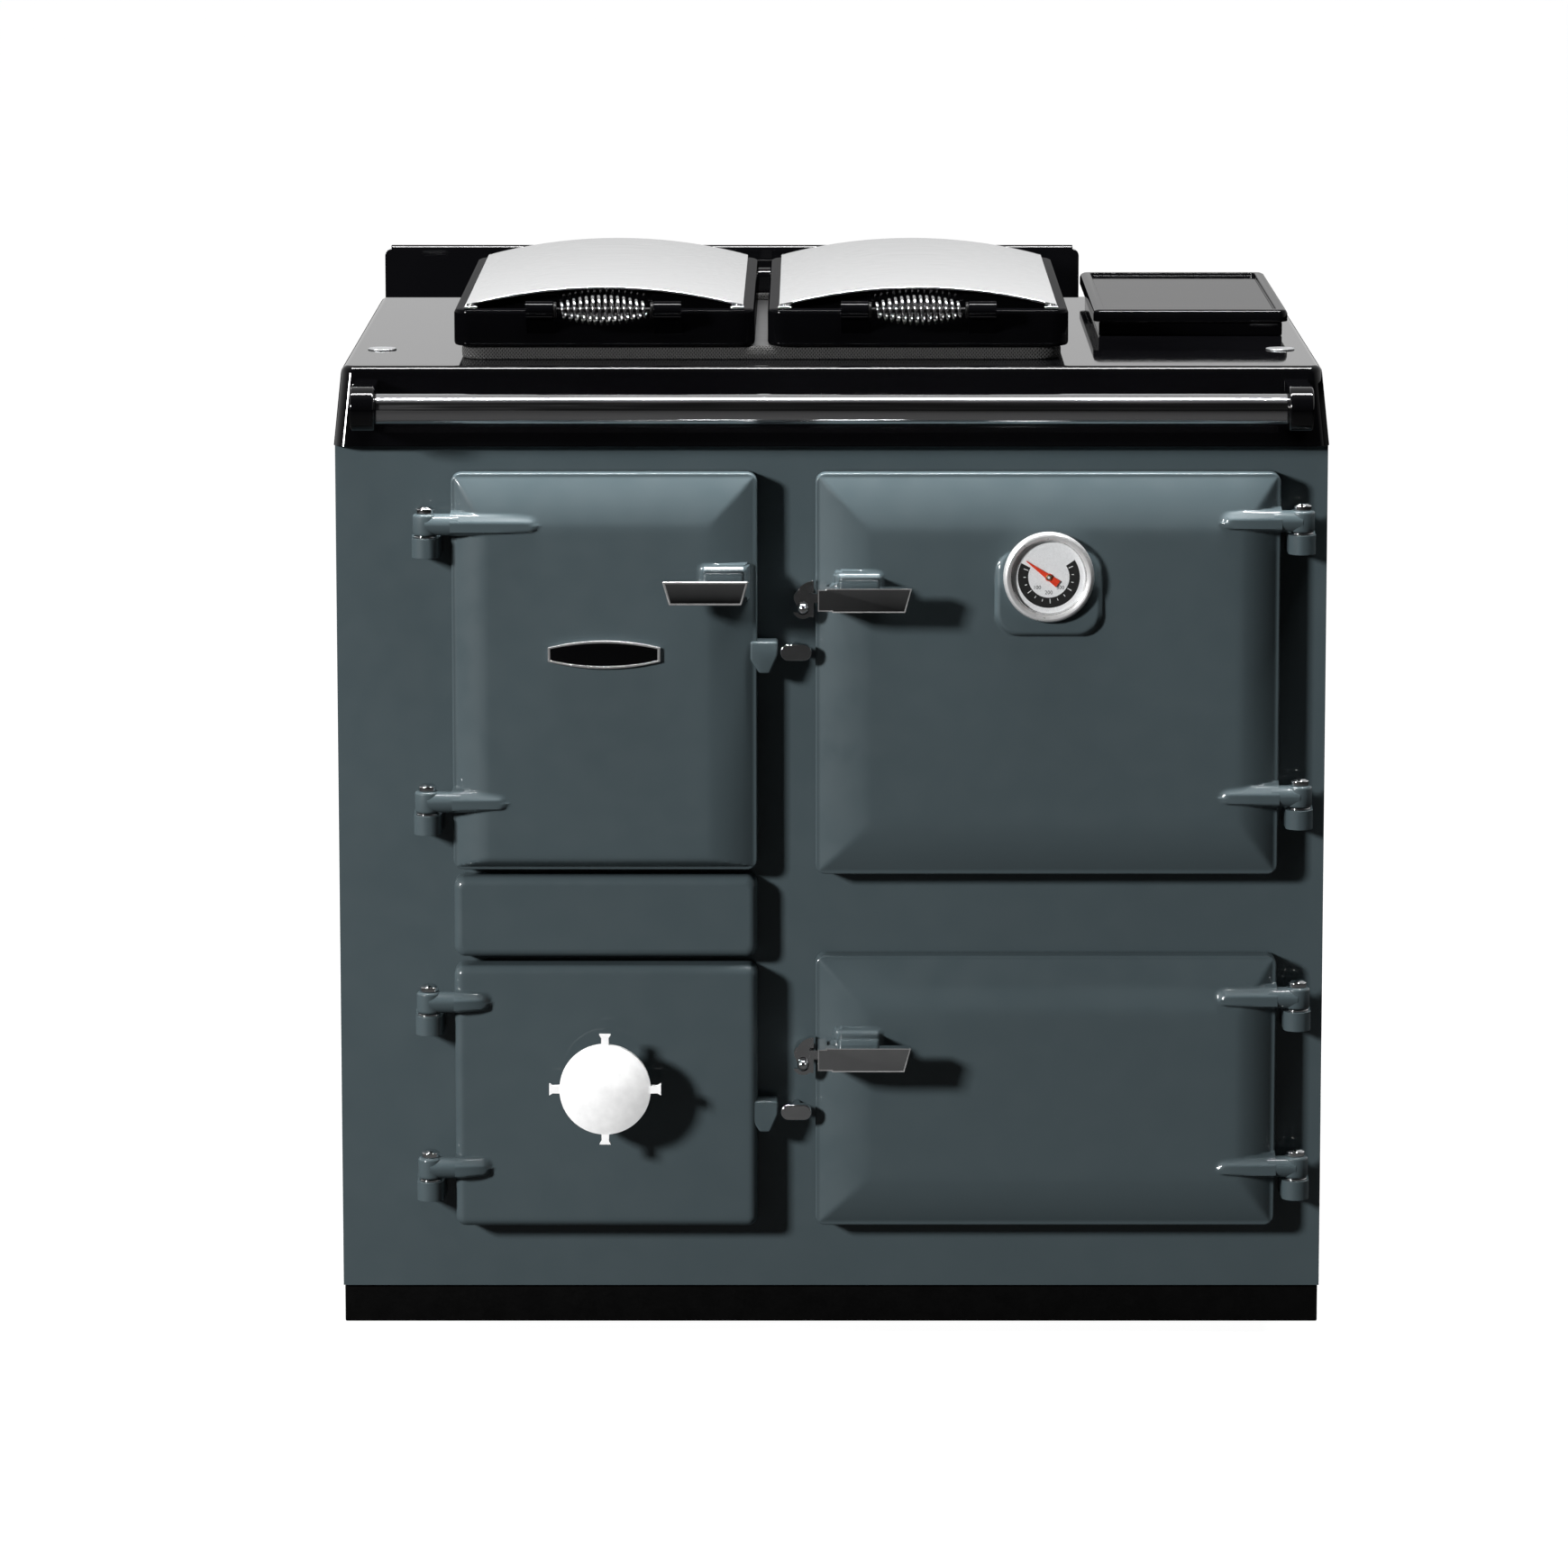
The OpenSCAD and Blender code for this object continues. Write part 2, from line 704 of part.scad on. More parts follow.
module rail_brackets() {
  color(black) in_place() for (side = [0, 1]) mirror([side, 0, 0]) difference() {
    across(rail_reach - bracket_w, bracket_w) {
      translate([-rail_y, rail_z]) circle(bracket_r, $fn = 96);
      polygon([[-rail_y, rail_z - bracket_r], [skirt_y(rail_z - bracket_r), rail_z - bracket_r],
        [skirt_y(rail_z + bracket_r), rail_z + bracket_r], [-rail_y, rail_z + bracket_r]]);
    }
    translate([rail_reach - bracket_w - over, -rail_y, rail_z]) rod_x(socket_h + over, rail_d / 2 + run_fit);
  }
}

module towel_rail() {
  l = 2 * (rail_reach - bracket_w + socket_h - run_fit);
  color(steel) in_place() translate([-l / 2, -rail_y, rail_z]) rod_x(l, rail_d / 2);
}

/* Hinges, keepers and catches */

module at_eyes(d) {
  for (z = [d[5], d[6]]) translate([hinge_x(d), -hinge_y, z]) children();
}

module door_hinge_lugs() {
  color(enamel) in_place() for (d = doors) at_eyes(d) translate([0, 0, lug_top - lug_h]) difference() {
    linear_extrude(lug_h) {
      circle(eye_r + 1, $fn = 64);
      translate([-eye_r - 1, 0]) square([2 * eye_r + 2, hinge_y]);
      polygon([[-eye_r - 1, 6], [-lug_w / 2, hinge_y], [lug_w / 2, hinge_y], [eye_r + 1, 6]]);
    }
    translate([0, 0, -over]) cylinder(h = lug_h + 2 * over, r = pin_d / 2 + run_fit, $fn = 48);
  }
}

module door_hinge_pins() {
  head_z = eye_h / 2 + clear;
  color(chrome) in_place() for (d = doors) at_eyes(d) {
    translate([0, 0, lug_top - lug_h]) cylinder(h = head_z - lug_top + lug_h + over, r = pin_d / 2, $fn = 48);
    translate([0, 0, lug_top]) cylinder(h = washer_t, r = eye_r - 1, $fn = 48);
    translate([0, 0, head_z]) cylinder(h = 4, r = pin_d, $fn = 48);
    translate([0, 0, head_z + 4]) cylinder(h = 2, r1 = pin_d, r2 = pin_d - 3, $fn = 48);
  }
}

// A keeper stands beside an oven door: a stem, a half-round plate and a ball for the handle's hook
module keeper(pivot) {
  edge = -pivot_in - keeper_gap;
  dome_z = pull_h / 2 - keeper_r;
  translate([pivot[0], 0, pivot[1]]) {
    translate([-pivot_in - ball_out, keeper_y + keeper_t, dome_z]) rod_y(-keeper_y - keeper_t, keeper_r / 2);
    intersection() {
      translate([edge, keeper_y, dome_z]) rod_y(keeper_t, keeper_r);
      translate([edge - keeper_r - over, keeper_y - over, dome_z - keeper_r])
        cube([keeper_r + over, keeper_t + 2 * over, 2 * keeper_r]);
    }
    translate([-pivot_in - ball_out, keeper_y - ball_r + over, -ball_drop]) sphere(ball_r, $fn = 48);
  }
}

module latch_keepers() {
  color(chrome) in_place() {
    keeper(main_pivot);
    keeper(lower_pivot);
  }
}

// A turn catch: an oval grip on a stem that turns in the front plate
module turn_catch(at) {
  grip_y = -door_gap - lip_t - ear_proud - 2 * clear;
  color(chrome) in_place() translate([at[0], 0, at[1]]) {
    facing(0, grip_y, 0) slab(catch_l, catch_w, catch_w / 2 - 0.1, catch_t);
    translate([0, grip_y - over, 0]) rod_y(front_t - grip_y, catch_stem_r);
  }
}

module firebox_catch() {
  turn_catch(firebox_catch_at);
}

module ashpit_catch() {
  turn_catch(ashpit_catch_at);
}

/* Doors */

// The rings of a padded door, from its back to its crowned face, with its own slope at the foot
function pillow_rings(w, h, foot) = concat(
  [ring(w, h, door_corner_r, 0), ring(w, h, door_corner_r, lip_t - 2),
    ring(w - 2, h - 2, door_corner_r - 1, lip_t - 0.6),
    ring(w - 2 * lip_w, h - 2 * lip_w, door_corner_r - 2, lip_t)],
  [for (t = [0.15, 0.3, 0.45, 0.62, 0.8, 1]) let (s = lip_w + slope_w * t, f = lip_w + foot * t)
    ring(w - 2 * s, h - s - f, door_corner_r - 2, lip_t + (pillow_t - lip_t) * t * (2 - t), (f - s) / 2)]);

// The rings of a flat tile with a rounded edge, from its back to its face
function tile_rings(w, h, t, r) = concat([ring(w, h, door_corner_r, 0)],
  [for (a = [0:22.5:90]) let (s = 2 * r * (1 - cos(a)))
    ring(w - s, h - s, door_corner_r - 0.6 * s / 2, t - r * (1 - sin(a)))]);

// What stands on the middle of a door, its z = 0 at depth y
module on_door(d, y) {
  facing(door_mid(d), y, d[2] + d[3] / 2) children();
}

// An arm tapers from the hinge's eye to a point on the face of its door
module arm(d, z, l, y) {
  hull() {
    translate([hinge_x(d), -hinge_y, z - eye_h / 2 + 1]) cylinder(h = eye_h - 2, r = eye_r - 1, $fn = 24);
    translate([hinge_x(d) - d[4] * l, y + 3, z]) sphere(r = 4, $fn = 16);
  }
}

// A door's casting: its outer form and arms and what is passed in, less the recess, the pocket and the bores
module door_casting(d, t, upper_arm, pocket, foot = slope_w) {
  difference() {
    union() {
      on_door(d, -door_gap)
        loft(pocket ? pillow_rings(d[1], d[3], foot) : tile_rings(d[1], d[3], t, flat_edge_r));
      arm(d, d[5], upper_arm, -door_gap - t);
      arm(d, d[6], short_arm, -door_gap - t);
      at_eyes(d) translate([0, 0, -eye_h / 2]) cylinder(h = eye_h, r = eye_r, $fn = 64);
      children();
    }
    at_eyes(d) translate([0, 0, -eye_h]) cylinder(h = 2 * eye_h, r = pin_d / 2 + run_fit, $fn = 48);
    on_door(d, -door_gap + over) slab(d[1] - 2 * rim_w, d[3] - 2 * rim_w, 6, recess_h + over);
    if (pocket) on_door(d, recess_y + over)
      slab(d[1] - 2 * pocket_inset, d[3] - 2 * pocket_inset, 8, t - recess_h - face_wall + over);
  }
}

// The ear on a left door's edge that its catch holds
module ear(d, at) {
  facing(d[0] + d[1], -door_gap, at[1]) linear_extrude(lip_t + ear_proud)
    polygon([[-6, 8], [ear_w, 8], [ear_w, -4], [ear_w - 7, -20], [2, -20], [-6, -8]]);
}

// A seal lies in the recess, against its rim, and meets the front plate
module door_rope(d) {
  w = d[1] - 2 * rim_w - seat_fit;
  h = d[3] - 2 * rim_w - seat_fit;
  color(rope_grey) in_place() on_door(d, -clear) frame(w, h, 6, rope_w, -recess_y - clear);
}

// A liner is a pan with a broad rim: the rim fills the recess inside the seal, the pan reaches into the opening
module door_liner(d) {
  s = 2 * (rim_w + rope_w + seat_fit);
  pan = 2 * (opening_inset + liner_in);
  hollow = pan + 2 * liner_t;
  color(iron) in_place() difference() {
    union() {
      on_door(d, -door_gap) slab(d[1] - s, d[3] - s, liner_r, recess_h);
      on_door(d, liner_reach - door_gap) slab(d[1] - pan, d[3] - pan, liner_r, liner_reach);
    }
    on_door(d, liner_reach - door_gap - liner_t)
      slab(d[1] - hollow, d[3] - hollow, liner_r / 2, liner_reach + recess_h);
  }
}

// The boss that carries a pull: square to the right of x0, round about the pivot if it has one
module pull_boss(x0, z, round_end) {
  h = pull_h / 2;
  facing(x0, face_y + boss_foot, z) linear_extrude(pull_gap + boss_foot) {
    if (round_end) circle(h - 0.5, $fn = 64);
    polygon([[0, 0.5 - h], [boss_w, 0.5 - h], [boss_w, h + boss_rise - 3], [boss_w - 3, h + boss_rise],
      [3, h + boss_rise], [0, h]]);
  }
}

// A pull's grip, seen from the front: wide at its top and drawn in at both ends, on x from 0
module grip(y, z) {
  facing(0, y, z) linear_extrude(pull_t)
    polygon([[0, pull_h / 2], [pull_taper, -pull_h / 2], [pull_w - pull_taper, -pull_h / 2],
      [pull_w, pull_h / 2]]);
}

module firebox_door_casting() {
  x = firebox_door[0] + firebox_door[1] - firebox_pull_in - boss_w - 4;
  color(enamel) in_place() door_casting(firebox_door, pillow_t, long_arm, true, foot_slope) {
    ear(firebox_door, firebox_catch_at);
    pull_boss(x, upper_z1 - firebox_pull_drop, false);
  }
}

module firebox_door_pull() {
  x = firebox_door[0] + firebox_door[1] - firebox_pull_in - pull_w;
  color(chrome) in_place() translate([x, 0, 0]) grip(pull_y, upper_z1 - firebox_pull_drop);
}

// The badge: a bare plate with bowed long sides and a raised rim
module badge_shape(w, h) {
  bow_r = (w * w / 4 + h * h / 16) / (h / 2);
  intersection() {
    translate([0, h / 2 - bow_r]) circle(bow_r, $fn = 180);
    translate([0, bow_r - h / 2]) circle(bow_r, $fn = 180);
    square([w, h], center = true);
  }
}

module door_badge() {
  color(chrome) in_place() facing(left_door_x, face_y, upper_z1 - badge_drop) difference() {
    linear_extrude(badge_t) badge_shape(badge_w, badge_h);
    translate([0, 0, badge_t - 1]) linear_extrude(over + 1) badge_shape(badge_w - 4, badge_h - 4);
  }
}

module firebox_door_liner() {
  door_liner(firebox_door);
}

module firebox_door_rope() {
  door_rope(firebox_door);
}

// The air hole leaves a hub and three arms that carry the spindle
module air_hole(y0, y1) {
  translate([wheel_at[0], y0, wheel_at[1]]) difference() {
    rod_y(y1 - y0, air_d / 2);
    translate([0, -over, 0]) rod_y(y1 - y0 + 2 * over, spindle_d);
    for (a = [90:120:330]) rotate([0, a, 0]) translate([0, -over, -4]) cube([air_d, y1 - y0 + 2 * over, 8]);
  }
}

module ashpit_door_casting() {
  hub_y = ashpit_face_y - hub_h;
  color(enamel) in_place() difference() {
    door_casting(ashpit_door, flat_door_t, short_arm - 16, false) {
      ear(ashpit_door, ashpit_catch_at);
      translate([wheel_at[0], hub_y, wheel_at[1]]) rod_y(hub_h + over, spindle_d);
    }
    air_hole(ashpit_face_y - over, recess_y + over);
    translate([wheel_at[0], hub_y - over, wheel_at[1]]) rod_y(hub_h + flat_door_t, spindle_d / 2 + run_fit);
  }
}

module ashpit_door_rope() {
  door_rope(ashpit_door);
}

// The damper closes the air hole from inside, and its spindle runs out to the spin wheel
module air_damper() {
  y0 = ashpit_face_y - wheel_out + 4;
  color(steel) in_place() translate([wheel_at[0], 0, wheel_at[1]]) {
    translate([0, recess_y + clear, 0]) rod_y(4, damper_d / 2);
    translate([0, y0, 0]) rod_y(recess_y + clear - y0 + over, spindle_d / 2);
  }
}

module spin_wheel() {
  rim_h = 6;
  dome_r = (pow(wheel_d / 2, 2) + pow(wheel_t - rim_h, 2)) / (2 * (wheel_t - rim_h));
  hub_l = wheel_out - wheel_t - hub_h - damper_travel - 1;
  bore_r = spindle_d / 2 + run_fit;
  color(chrome) in_place() facing(wheel_at[0], ashpit_face_y - wheel_out + wheel_t, wheel_at[1]) difference() {
    union() {
      cylinder(h = rim_h, d = wheel_d, $fn = 96);
      rotate_extrude($fn = 96) intersection() {
        translate([0, wheel_t - dome_r]) circle(dome_r, $fn = 240);
        square([wheel_d / 2, wheel_t]);
      }
      translate([0, 0, -hub_l]) cylinder(h = hub_l + over, r = spindle_d + 1, $fn = 64);
      for (a = [0:90:270]) rotate([0, 0, a]) linear_extrude(rim_h)
        polygon([[wheel_d / 2 - 3, -3.4], [nub_reach - 3, -3.2], [nub_reach, -5], [nub_reach, 5],
          [nub_reach - 3, 3.2], [wheel_d / 2 - 3, 3.4]]);
    }
    translate([0, 0, -hub_l - over]) cylinder(h = hub_l + over + wheel_t - 4 + clear, r = bore_r, $fn = 48);
  }
}

/* Oven doors */

// The hook under a keeper's ball, and the block that joins it to the grip
module handle_hook() {
  y = keeper_y - clear - 0.3;
  at = [-pivot_in - ball_out, -ball_drop];
  left = 2 - pivot_in;
  facing(0, y, 0) linear_extrude(hook_t) {
    difference() {
      translate(at) circle(ball_r + 4, $fn = 64);
      translate(at) circle(ball_r + 0.6, $fn = 64);
      translate([at[0] - hook_cut, at[1]]) square([2 * hook_cut, hook_cut]);
      translate([at[0] - hook_cut, at[1] - hook_open]) square([hook_cut, hook_cut]);
    }
    translate([at[0] + ball_r + 0.8, at[1] - 1]) square([hook_open, 10]);
    translate([at[0] + ball_r + 0.8, -8]) square([left + 4 - at[0] - ball_r, 8]);
  }
  translate([left, pull_y - clear - pull_t, 1 - pull_h / 2]) {
    cube([hook_block_w, y - pull_y + clear + pull_t, pull_h - 2]);
    cube([2 * hook_block_w, pull_t, pull_h - 2]);
  }
}

module door_handle(pivot) {
  color(chrome) in_place() translate([pivot[0], 0, pivot[1]]) {
    translate([-pull_h / 2 - 1, 0, 0]) grip(pull_y - clear, 0);
    translate([0, pull_y - clear - over, 0]) rod_y(pivot_l, pivot_r);
    handle_hook();
  }
}

// A handle's boss with the bore for its pivot
module handle_boss(pivot) {
  pull_boss(pivot[0], pivot[1], true);
}

module handle_bore(pivot) {
  translate([pivot[0], pull_y - over, pivot[1]]) rod_y(pivot_l + over, pivot_r + run_fit);
}

module main_door_casting() {
  color(enamel) in_place() difference() {
    door_casting(main_door, pillow_t, short_arm, true) {
      handle_boss(main_pivot);
      facing(dial_at[0], face_y + 6, dial_at[1] + pad_up) slab(pad_w, pad_tall, pad_r, pad_h + 6);
    }
    handle_bore(main_pivot);
  }
}

module main_door_handle() {
  door_handle(main_pivot);
}

module main_door_liner() {
  door_liner(main_door);
}

module main_door_rope() {
  door_rope(main_door);
}

module lower_door_casting() {
  color(enamel) in_place() difference() {
    door_casting(lower_door, pillow_t, short_arm, true) handle_boss(lower_pivot);
    handle_bore(lower_pivot);
  }
}

module lower_door_handle() {
  door_handle(lower_pivot);
}

module lower_door_liner() {
  door_liner(lower_door);
}

module lower_door_rope() {
  door_rope(lower_door);
}

/* Thermometer */

module on_dial(y) {
  facing(dial_at[0], pad_y - y, dial_at[1]) children();
}

module thermometer_case() {
  r = bezel_d / 2;
  glass_r = dial_d / 2 + 1.2;
  color(chrome) in_place() on_dial(0) rotate_extrude($fn = 128)
    polygon([[0, 0], [r, 0], [r, case_h - 4], [r - 1.2, case_h - 1.2], [r - 3, case_h],
      [glass_r + 1, case_h - 0.6], [glass_r, case_h - 1.6], [glass_r, glass_z], [dial_d / 2, glass_z],
      [dial_d / 2, dial_z], [0, dial_z]]);
}

module thermometer_dial() {
  color("white") in_place() on_dial(dial_z) {
    cylinder(h = 1.2, d = dial_d - 0.4, $fn = 128);
    cylinder(h = glass_z - dial_z - clear, r = 1.2, $fn = 32);
  }
}

module thermometer_needle() {
  color("#c03020") in_place() on_dial(dial_z + 1.2 + clear) rotate([0, 0, needle_rest]) difference() {
    linear_extrude(1.2) {
      circle(3.4, $fn = 48);
      polygon([[-10, 3.4], [-10, -3.4], [dial_d * 0.38, -0.3], [dial_d * 0.38, 0.3]]);
    }
    translate([0, 0, -over]) cylinder(h = 4, r = 1.2 + run_fit, $fn = 32);
  }
}

module thermometer_glass() {
  color("#dfe8ea") in_place() on_dial(glass_z) cylinder(h = 1.4, r = dial_d / 2 + 1.1, $fn = 128);
}

module filler_panel() {
  color(enamel) in_place() facing(left_door_x, 0, door_top(ashpit_door) + filler_gap + filler_h / 2)
    loft(tile_rings(left_door_w, filler_h, filler_proud, flat_edge_r));
}

/* Hob and lids */

// Width and depth of the hotplate's body, each grown by 2 s
function hotplate_size(s) = let (in = 2 * (rope_inset + rope_w + hot_gap + hot_flange))
  [hob_w - in + 2 * s, lid_d - in + 2 * s];

module hotplate() {
  size = hotplate_size(0);
  color(iron) in_place() translate([hob_x, lid_y + lid_d / 2, top_z]) {
    slab(size[0] + 2 * hot_flange, size[1] + 2 * hot_flange, hot_r + hot_flange, hot_rise);
    translate([0, 0, -hot_depth]) slab(size[0], size[1], hot_r, hot_depth);
  }
}

module hotplate_rope() {
  color(rope_grey) in_place() translate([hob_x, lid_y + lid_d / 2, top_z])
    frame(hob_w - 2 * rope_inset, lid_d - 2 * rope_inset, lid_corner_r, rope_w, lid_lift - clear);
}

// The area under the cover's arch, on its straight edge, drawn in by t on the sides and the top
module arch(w, t) {
  translate([t - w / 2, 0]) square([w - 2 * t, cover_edge]);
  intersection() {
    translate([0, cover_edge - t + cover_rise - arch_r]) circle(arch_r, $fn = 360);
    translate([t - w / 2, 0]) square([w - 2 * t, cover_edge + cover_rise]);
  }
}

// What is drawn in x and z, extruded back from y on a lid
module along_lid(y, l) {
  translate([0, y, 0]) rotate([90, 0, 0]) translate([0, 0, -l]) linear_extrude(l) children();
}

// One arm of a lid's handle, on the right of the coil, bored for the handle's core
module handle_arm() {
  difference() {
    across(coil_l / 2, arm_w) {
      translate([coil_y, coil_z]) circle(arm_r, $fn = 64);
      polygon([[coil_y, coil_z - arm_r], [lid_y + 6, lid_z + 6], [lid_y + 8, lid_top - 5],
        [coil_y, coil_z + 2]]);
    }
    translate([coil_l / 2 - over, coil_y, coil_z]) rod_x(core_grip + over, core_d / 2 + run_fit);
  }
}

// The two knuckles of a lid, as [left edge, width] from the lid's middle
function knuckles() = [for (s = [-1, 1]) s * (lid_w / 2 - knuckle_in) - knuckle_w / 2];

module lid_casting(x) {
  wall = cover_inset + 4;
  color(black) in_place() translate([x, 0, 0]) difference() {
    union() {
      difference() {
        translate([0, lid_y + lid_d / 2, lid_z]) loft([for (e = [[2.5, 0], [0.7, 0.8], [0, 3],
          [0, lid_h - 4], [1.2, lid_h - 1.2], [4, lid_h]])
          ring(lid_w - 2 * e[0], lid_d - 2 * e[0], lid_corner_r - e[0], e[1], 0, 5)]);
        translate([0, lid_y + lid_d / 2, lid_z + lid_floor])
          slab(lid_w - 2 * wall, lid_d - 2 * wall, 8, lid_h);
      }
      for (y = [lid_y + cover_inset + 14, lid_y + lid_d - cover_inset - 14 - bulkhead_t])
        translate([0, 0, lid_top]) along_lid(y, bulkhead_t) {
          arch(cover_w, cover_t + run_fit);
          translate([1 - cover_w / 2, lid_floor - lid_h - 1])
            square([cover_w - 2, lid_h - lid_floor + 1]);
        }
      for (s = [0, 1]) mirror([s, 0, 0]) handle_arm();
      for (k = knuckles()) across(k, knuckle_w) {
        translate([hinge_rod_y, hinge_rod_z]) circle(knuckle_r, $fn = 64);
        translate([lid_y + lid_d - 2, hinge_rod_z - knuckle_r]) square([rod_back + 2, 2 * knuckle_r]);
      }
    }
    for (k = knuckles()) translate([k - over, hinge_rod_y, hinge_rod_z])
      rod_x(knuckle_w + 2 * over, rod_d / 2 + run_fit);
  }
}

module lid_cover(x) {
  color("#d5d8da") in_place() translate([x, 0, lid_top]) difference() {
    along_lid(lid_y + cover_inset, lid_d - 2 * cover_inset) arch(cover_w, 0);
    along_lid(lid_y + cover_inset - over, lid_d - 2 * cover_inset + 2 * over) arch(cover_w, cover_t);
    translate([-cover_w / 2 + cover_t, lid_y, -over]) cube([cover_w - 2 * cover_t, lid_d, 2 * over]);
  }
}

// The coil winds from one ferrule to the other, swelling at its middle: a point on it at u from 0 to 1
coil_run = coil_l - 2 * ferrule_t;
function coil_angle(u) = 360 * turns * u;
function coil_radius(u) = (coil_end_d - wire_d) / 2 + (coil_mid_d - coil_end_d) / 2 * pow(sin(180 * u), 0.8);
function coil_point(u) = [wire_d - coil_run / 2 + u * (coil_run - 2 * wire_d),
  coil_radius(u) * cos(coil_angle(u)), coil_radius(u) * sin(coil_angle(u))];
coil_rings = turns * 8;
coil_turns = [for (i = [0:coil_rings]) coil_point(i / coil_rings)];
coil_end = coil_turns[coil_rings];
coil_path = concat([[-coil_run / 2, coil_turns[0][1], 0]], coil_turns,
  [[coil_run / 2, coil_end[1], coil_end[2]]]);
coil_gap = min([for (i = [0:coil_rings]) for (j = [i + 5:1:coil_rings])
  norm(coil_turns[i] - coil_turns[j])]) - wire_d;

// A ring of the wire, square to the path where it passes point i
function wire_ring(i) =
  let (n = len(coil_path) - 1, p = coil_path[i], q = coil_path[min(i + 1, n)] - coil_path[max(i - 1, 0)],
    t = (i == 0 || i == n) ? [1, 0, 0] : q / norm(q), r = [0, p[1], p[2]] / norm([0, p[1], p[2]]),
    s = cross(t, r), b = s / norm(s), a = cross(b, t))
    [for (k = [0:5]) p + wire_d / 2 * (cos(60 * k) * a + sin(60 * k) * b)];

module lid_handle(x) {
  echo(coil_least_gap_mm = coil_gap);
  l = coil_l + 2 * core_grip - 2 * run_fit;
  color(chrome) in_place() translate([x, coil_y, coil_z]) {
    loft([for (i = [0:len(coil_path) - 1]) wire_ring(i)]);
    translate([-l / 2, 0, 0]) rod_x(l, core_d / 2);
    for (s = [0, 1]) mirror([s, 0, 0]) translate([coil_l / 2 - ferrule_t, 0, 0]) rod_x(ferrule_t, ferrule_r);
  }
}

module left_lid_casting() {
  lid_casting(left_lid_x);
}

module left_lid_cover() {
  lid_cover(left_lid_x);
}

module left_lid_handle() {
  lid_handle(left_lid_x);
}

module right_lid_casting() {
  lid_casting(right_lid_x);
}

module right_lid_cover() {
  lid_cover(right_lid_x);
}

module right_lid_handle() {
  lid_handle(right_lid_x);
}

// The lugs stand on the top: one between the lids and one outside each outer knuckle
lug_places = [[hob_x - mid_lug_w / 2, mid_lug_w],
  [left_lid_x - lid_w / 2 + knuckle_in + knuckle_w / 2 + 2, outer_lug_w],
  [right_lid_x + lid_w / 2 - knuckle_in - knuckle_w / 2 - 2 - outer_lug_w, outer_lug_w]];

module lid_hinge_brackets() {
  r = knuckle_r;
  color(black) in_place() for (p = lug_places) difference() {
    across(p[0], p[1]) {
      translate([hinge_rod_y, hinge_rod_z]) circle(r, $fn = 64);
      polygon([[hinge_rod_y - r, hinge_rod_z], [hinge_rod_y - r, top_z], [hinge_rod_y + r + 4, top_z],
        [hinge_rod_y + r, hinge_rod_z]]);
    }
    translate([p[0] - over, hinge_rod_y, hinge_rod_z]) rod_x(p[1] + 2 * over, rod_d / 2 + run_fit);
  }
}

module lid_hinge_rod() {
  x0 = left_lid_x - lid_w / 2 + knuckle_in - knuckle_w / 2 - 3;
  x1 = right_lid_x + lid_w / 2 - knuckle_in + knuckle_w / 2 + 3;
  color(chrome) in_place() translate([x0, hinge_rod_y, hinge_rod_z]) rod_x(x1 - x0, rod_d / 2);
}

/* Flue */

well_x = flue_x0 + flue_lip;
well_w = flue_w - 2 * flue_lip;

// The flue box's body, grown by s, between two heights
module flue_body(s, z0, z1) {
  translate([well_x - s, flue_y0 + flue_lip - s, z0])
    cube([well_w + 2 * s, flue_back - flue_y0 - flue_lip + 2 * s, z1 - z0]);
}

// The flue box hangs in the top by its flange, open at its top and over the well
module flue_box() {
  rear = flue_back - flue_t;
  color(black) in_place() difference() {
    union() {
      flue_body(0, flue_z0, top_z + 1);
      translate([flue_x0, flue_y0, top_z]) cube([flue_w, flue_y1 - flue_y0, flue_rise]);
    }
    translate([well_x + flue_t, flue_y0 + flue_lip + flue_t, flue_z0 + flue_t])
      cube([well_w - 2 * flue_t, rear - flue_y0 - flue_lip - flue_t, top_z + flue_rise]);
    translate([well_x + flue_t, well_y + flue_t, flue_z0 - over])
      cube([well_w - 2 * flue_t, rear - well_y - flue_t, flue_t + 2 * over]);
    translate([well_x - over, flue_y0 + inlet_y, body_top + flue_t])
      cube([flue_t + 2 * over, inlet_l, skirt_h - top_t - 2 * flue_t - seat_fit]);
  }
}

// The well under the flue box leads down to the outlet
module flue_well() {
  z = spigot_z - spigot_r - flue_t;
  color(black) in_place() difference() {
    translate([well_x, well_y, z]) cube([well_w, flue_back - well_y, flue_z0 - z]);
    translate([well_x + flue_t, well_y + flue_t, z + flue_t])
      cube([well_w - 2 * flue_t, flue_back - well_y - 2 * flue_t, flue_z0 - z]);
    translate([spigot_x, flue_back - flue_t - over, spigot_z]) rod_y(flue_t + 2 * over, spigot_r + run_fit);
  }
}

module flue_spigot() {
  y0 = flue_back - flue_t;
  color(iron) in_place() translate([spigot_x, y0, spigot_z]) difference() {
    rod_y(body_d + spigot_l - y0, spigot_r);
    translate([0, -over, 0]) rod_y(body_d + spigot_l - y0 + 2 * over, spigot_bore / 2);
  }
}

module flue_cover() {
  w = flue_w + 2 * cover_over;
  y0 = flue_y0 - cover_over;
  d = body_d - 1 - y0;
  in = flue_lip + flue_t + seat_fit;
  color(black) in_place() translate([flue_x0 + flue_w / 2, y0 + d / 2, top_z + flue_rise]) difference() {
    union() {
      loft([for (e = [[0, 0], [0, flue_cover_t - 4], [1.2, flue_cover_t - 1.2], [4, flue_cover_t]])
        ring(w - 2 * e[0], d - 2 * e[0], 9 - e[0], e[1])]);
      translate([-flue_w / 2 + in, flue_y0 + in - y0 - d / 2, -6])
        cube([flue_w - 2 * in, flue_back - flue_t - seat_fit - flue_y0 - in, 7]);
    }
    translate([0, 0, flue_cover_t - 3]) slab(w - 20, d - 20, 5, 4);
  }
}

/* Ovens */

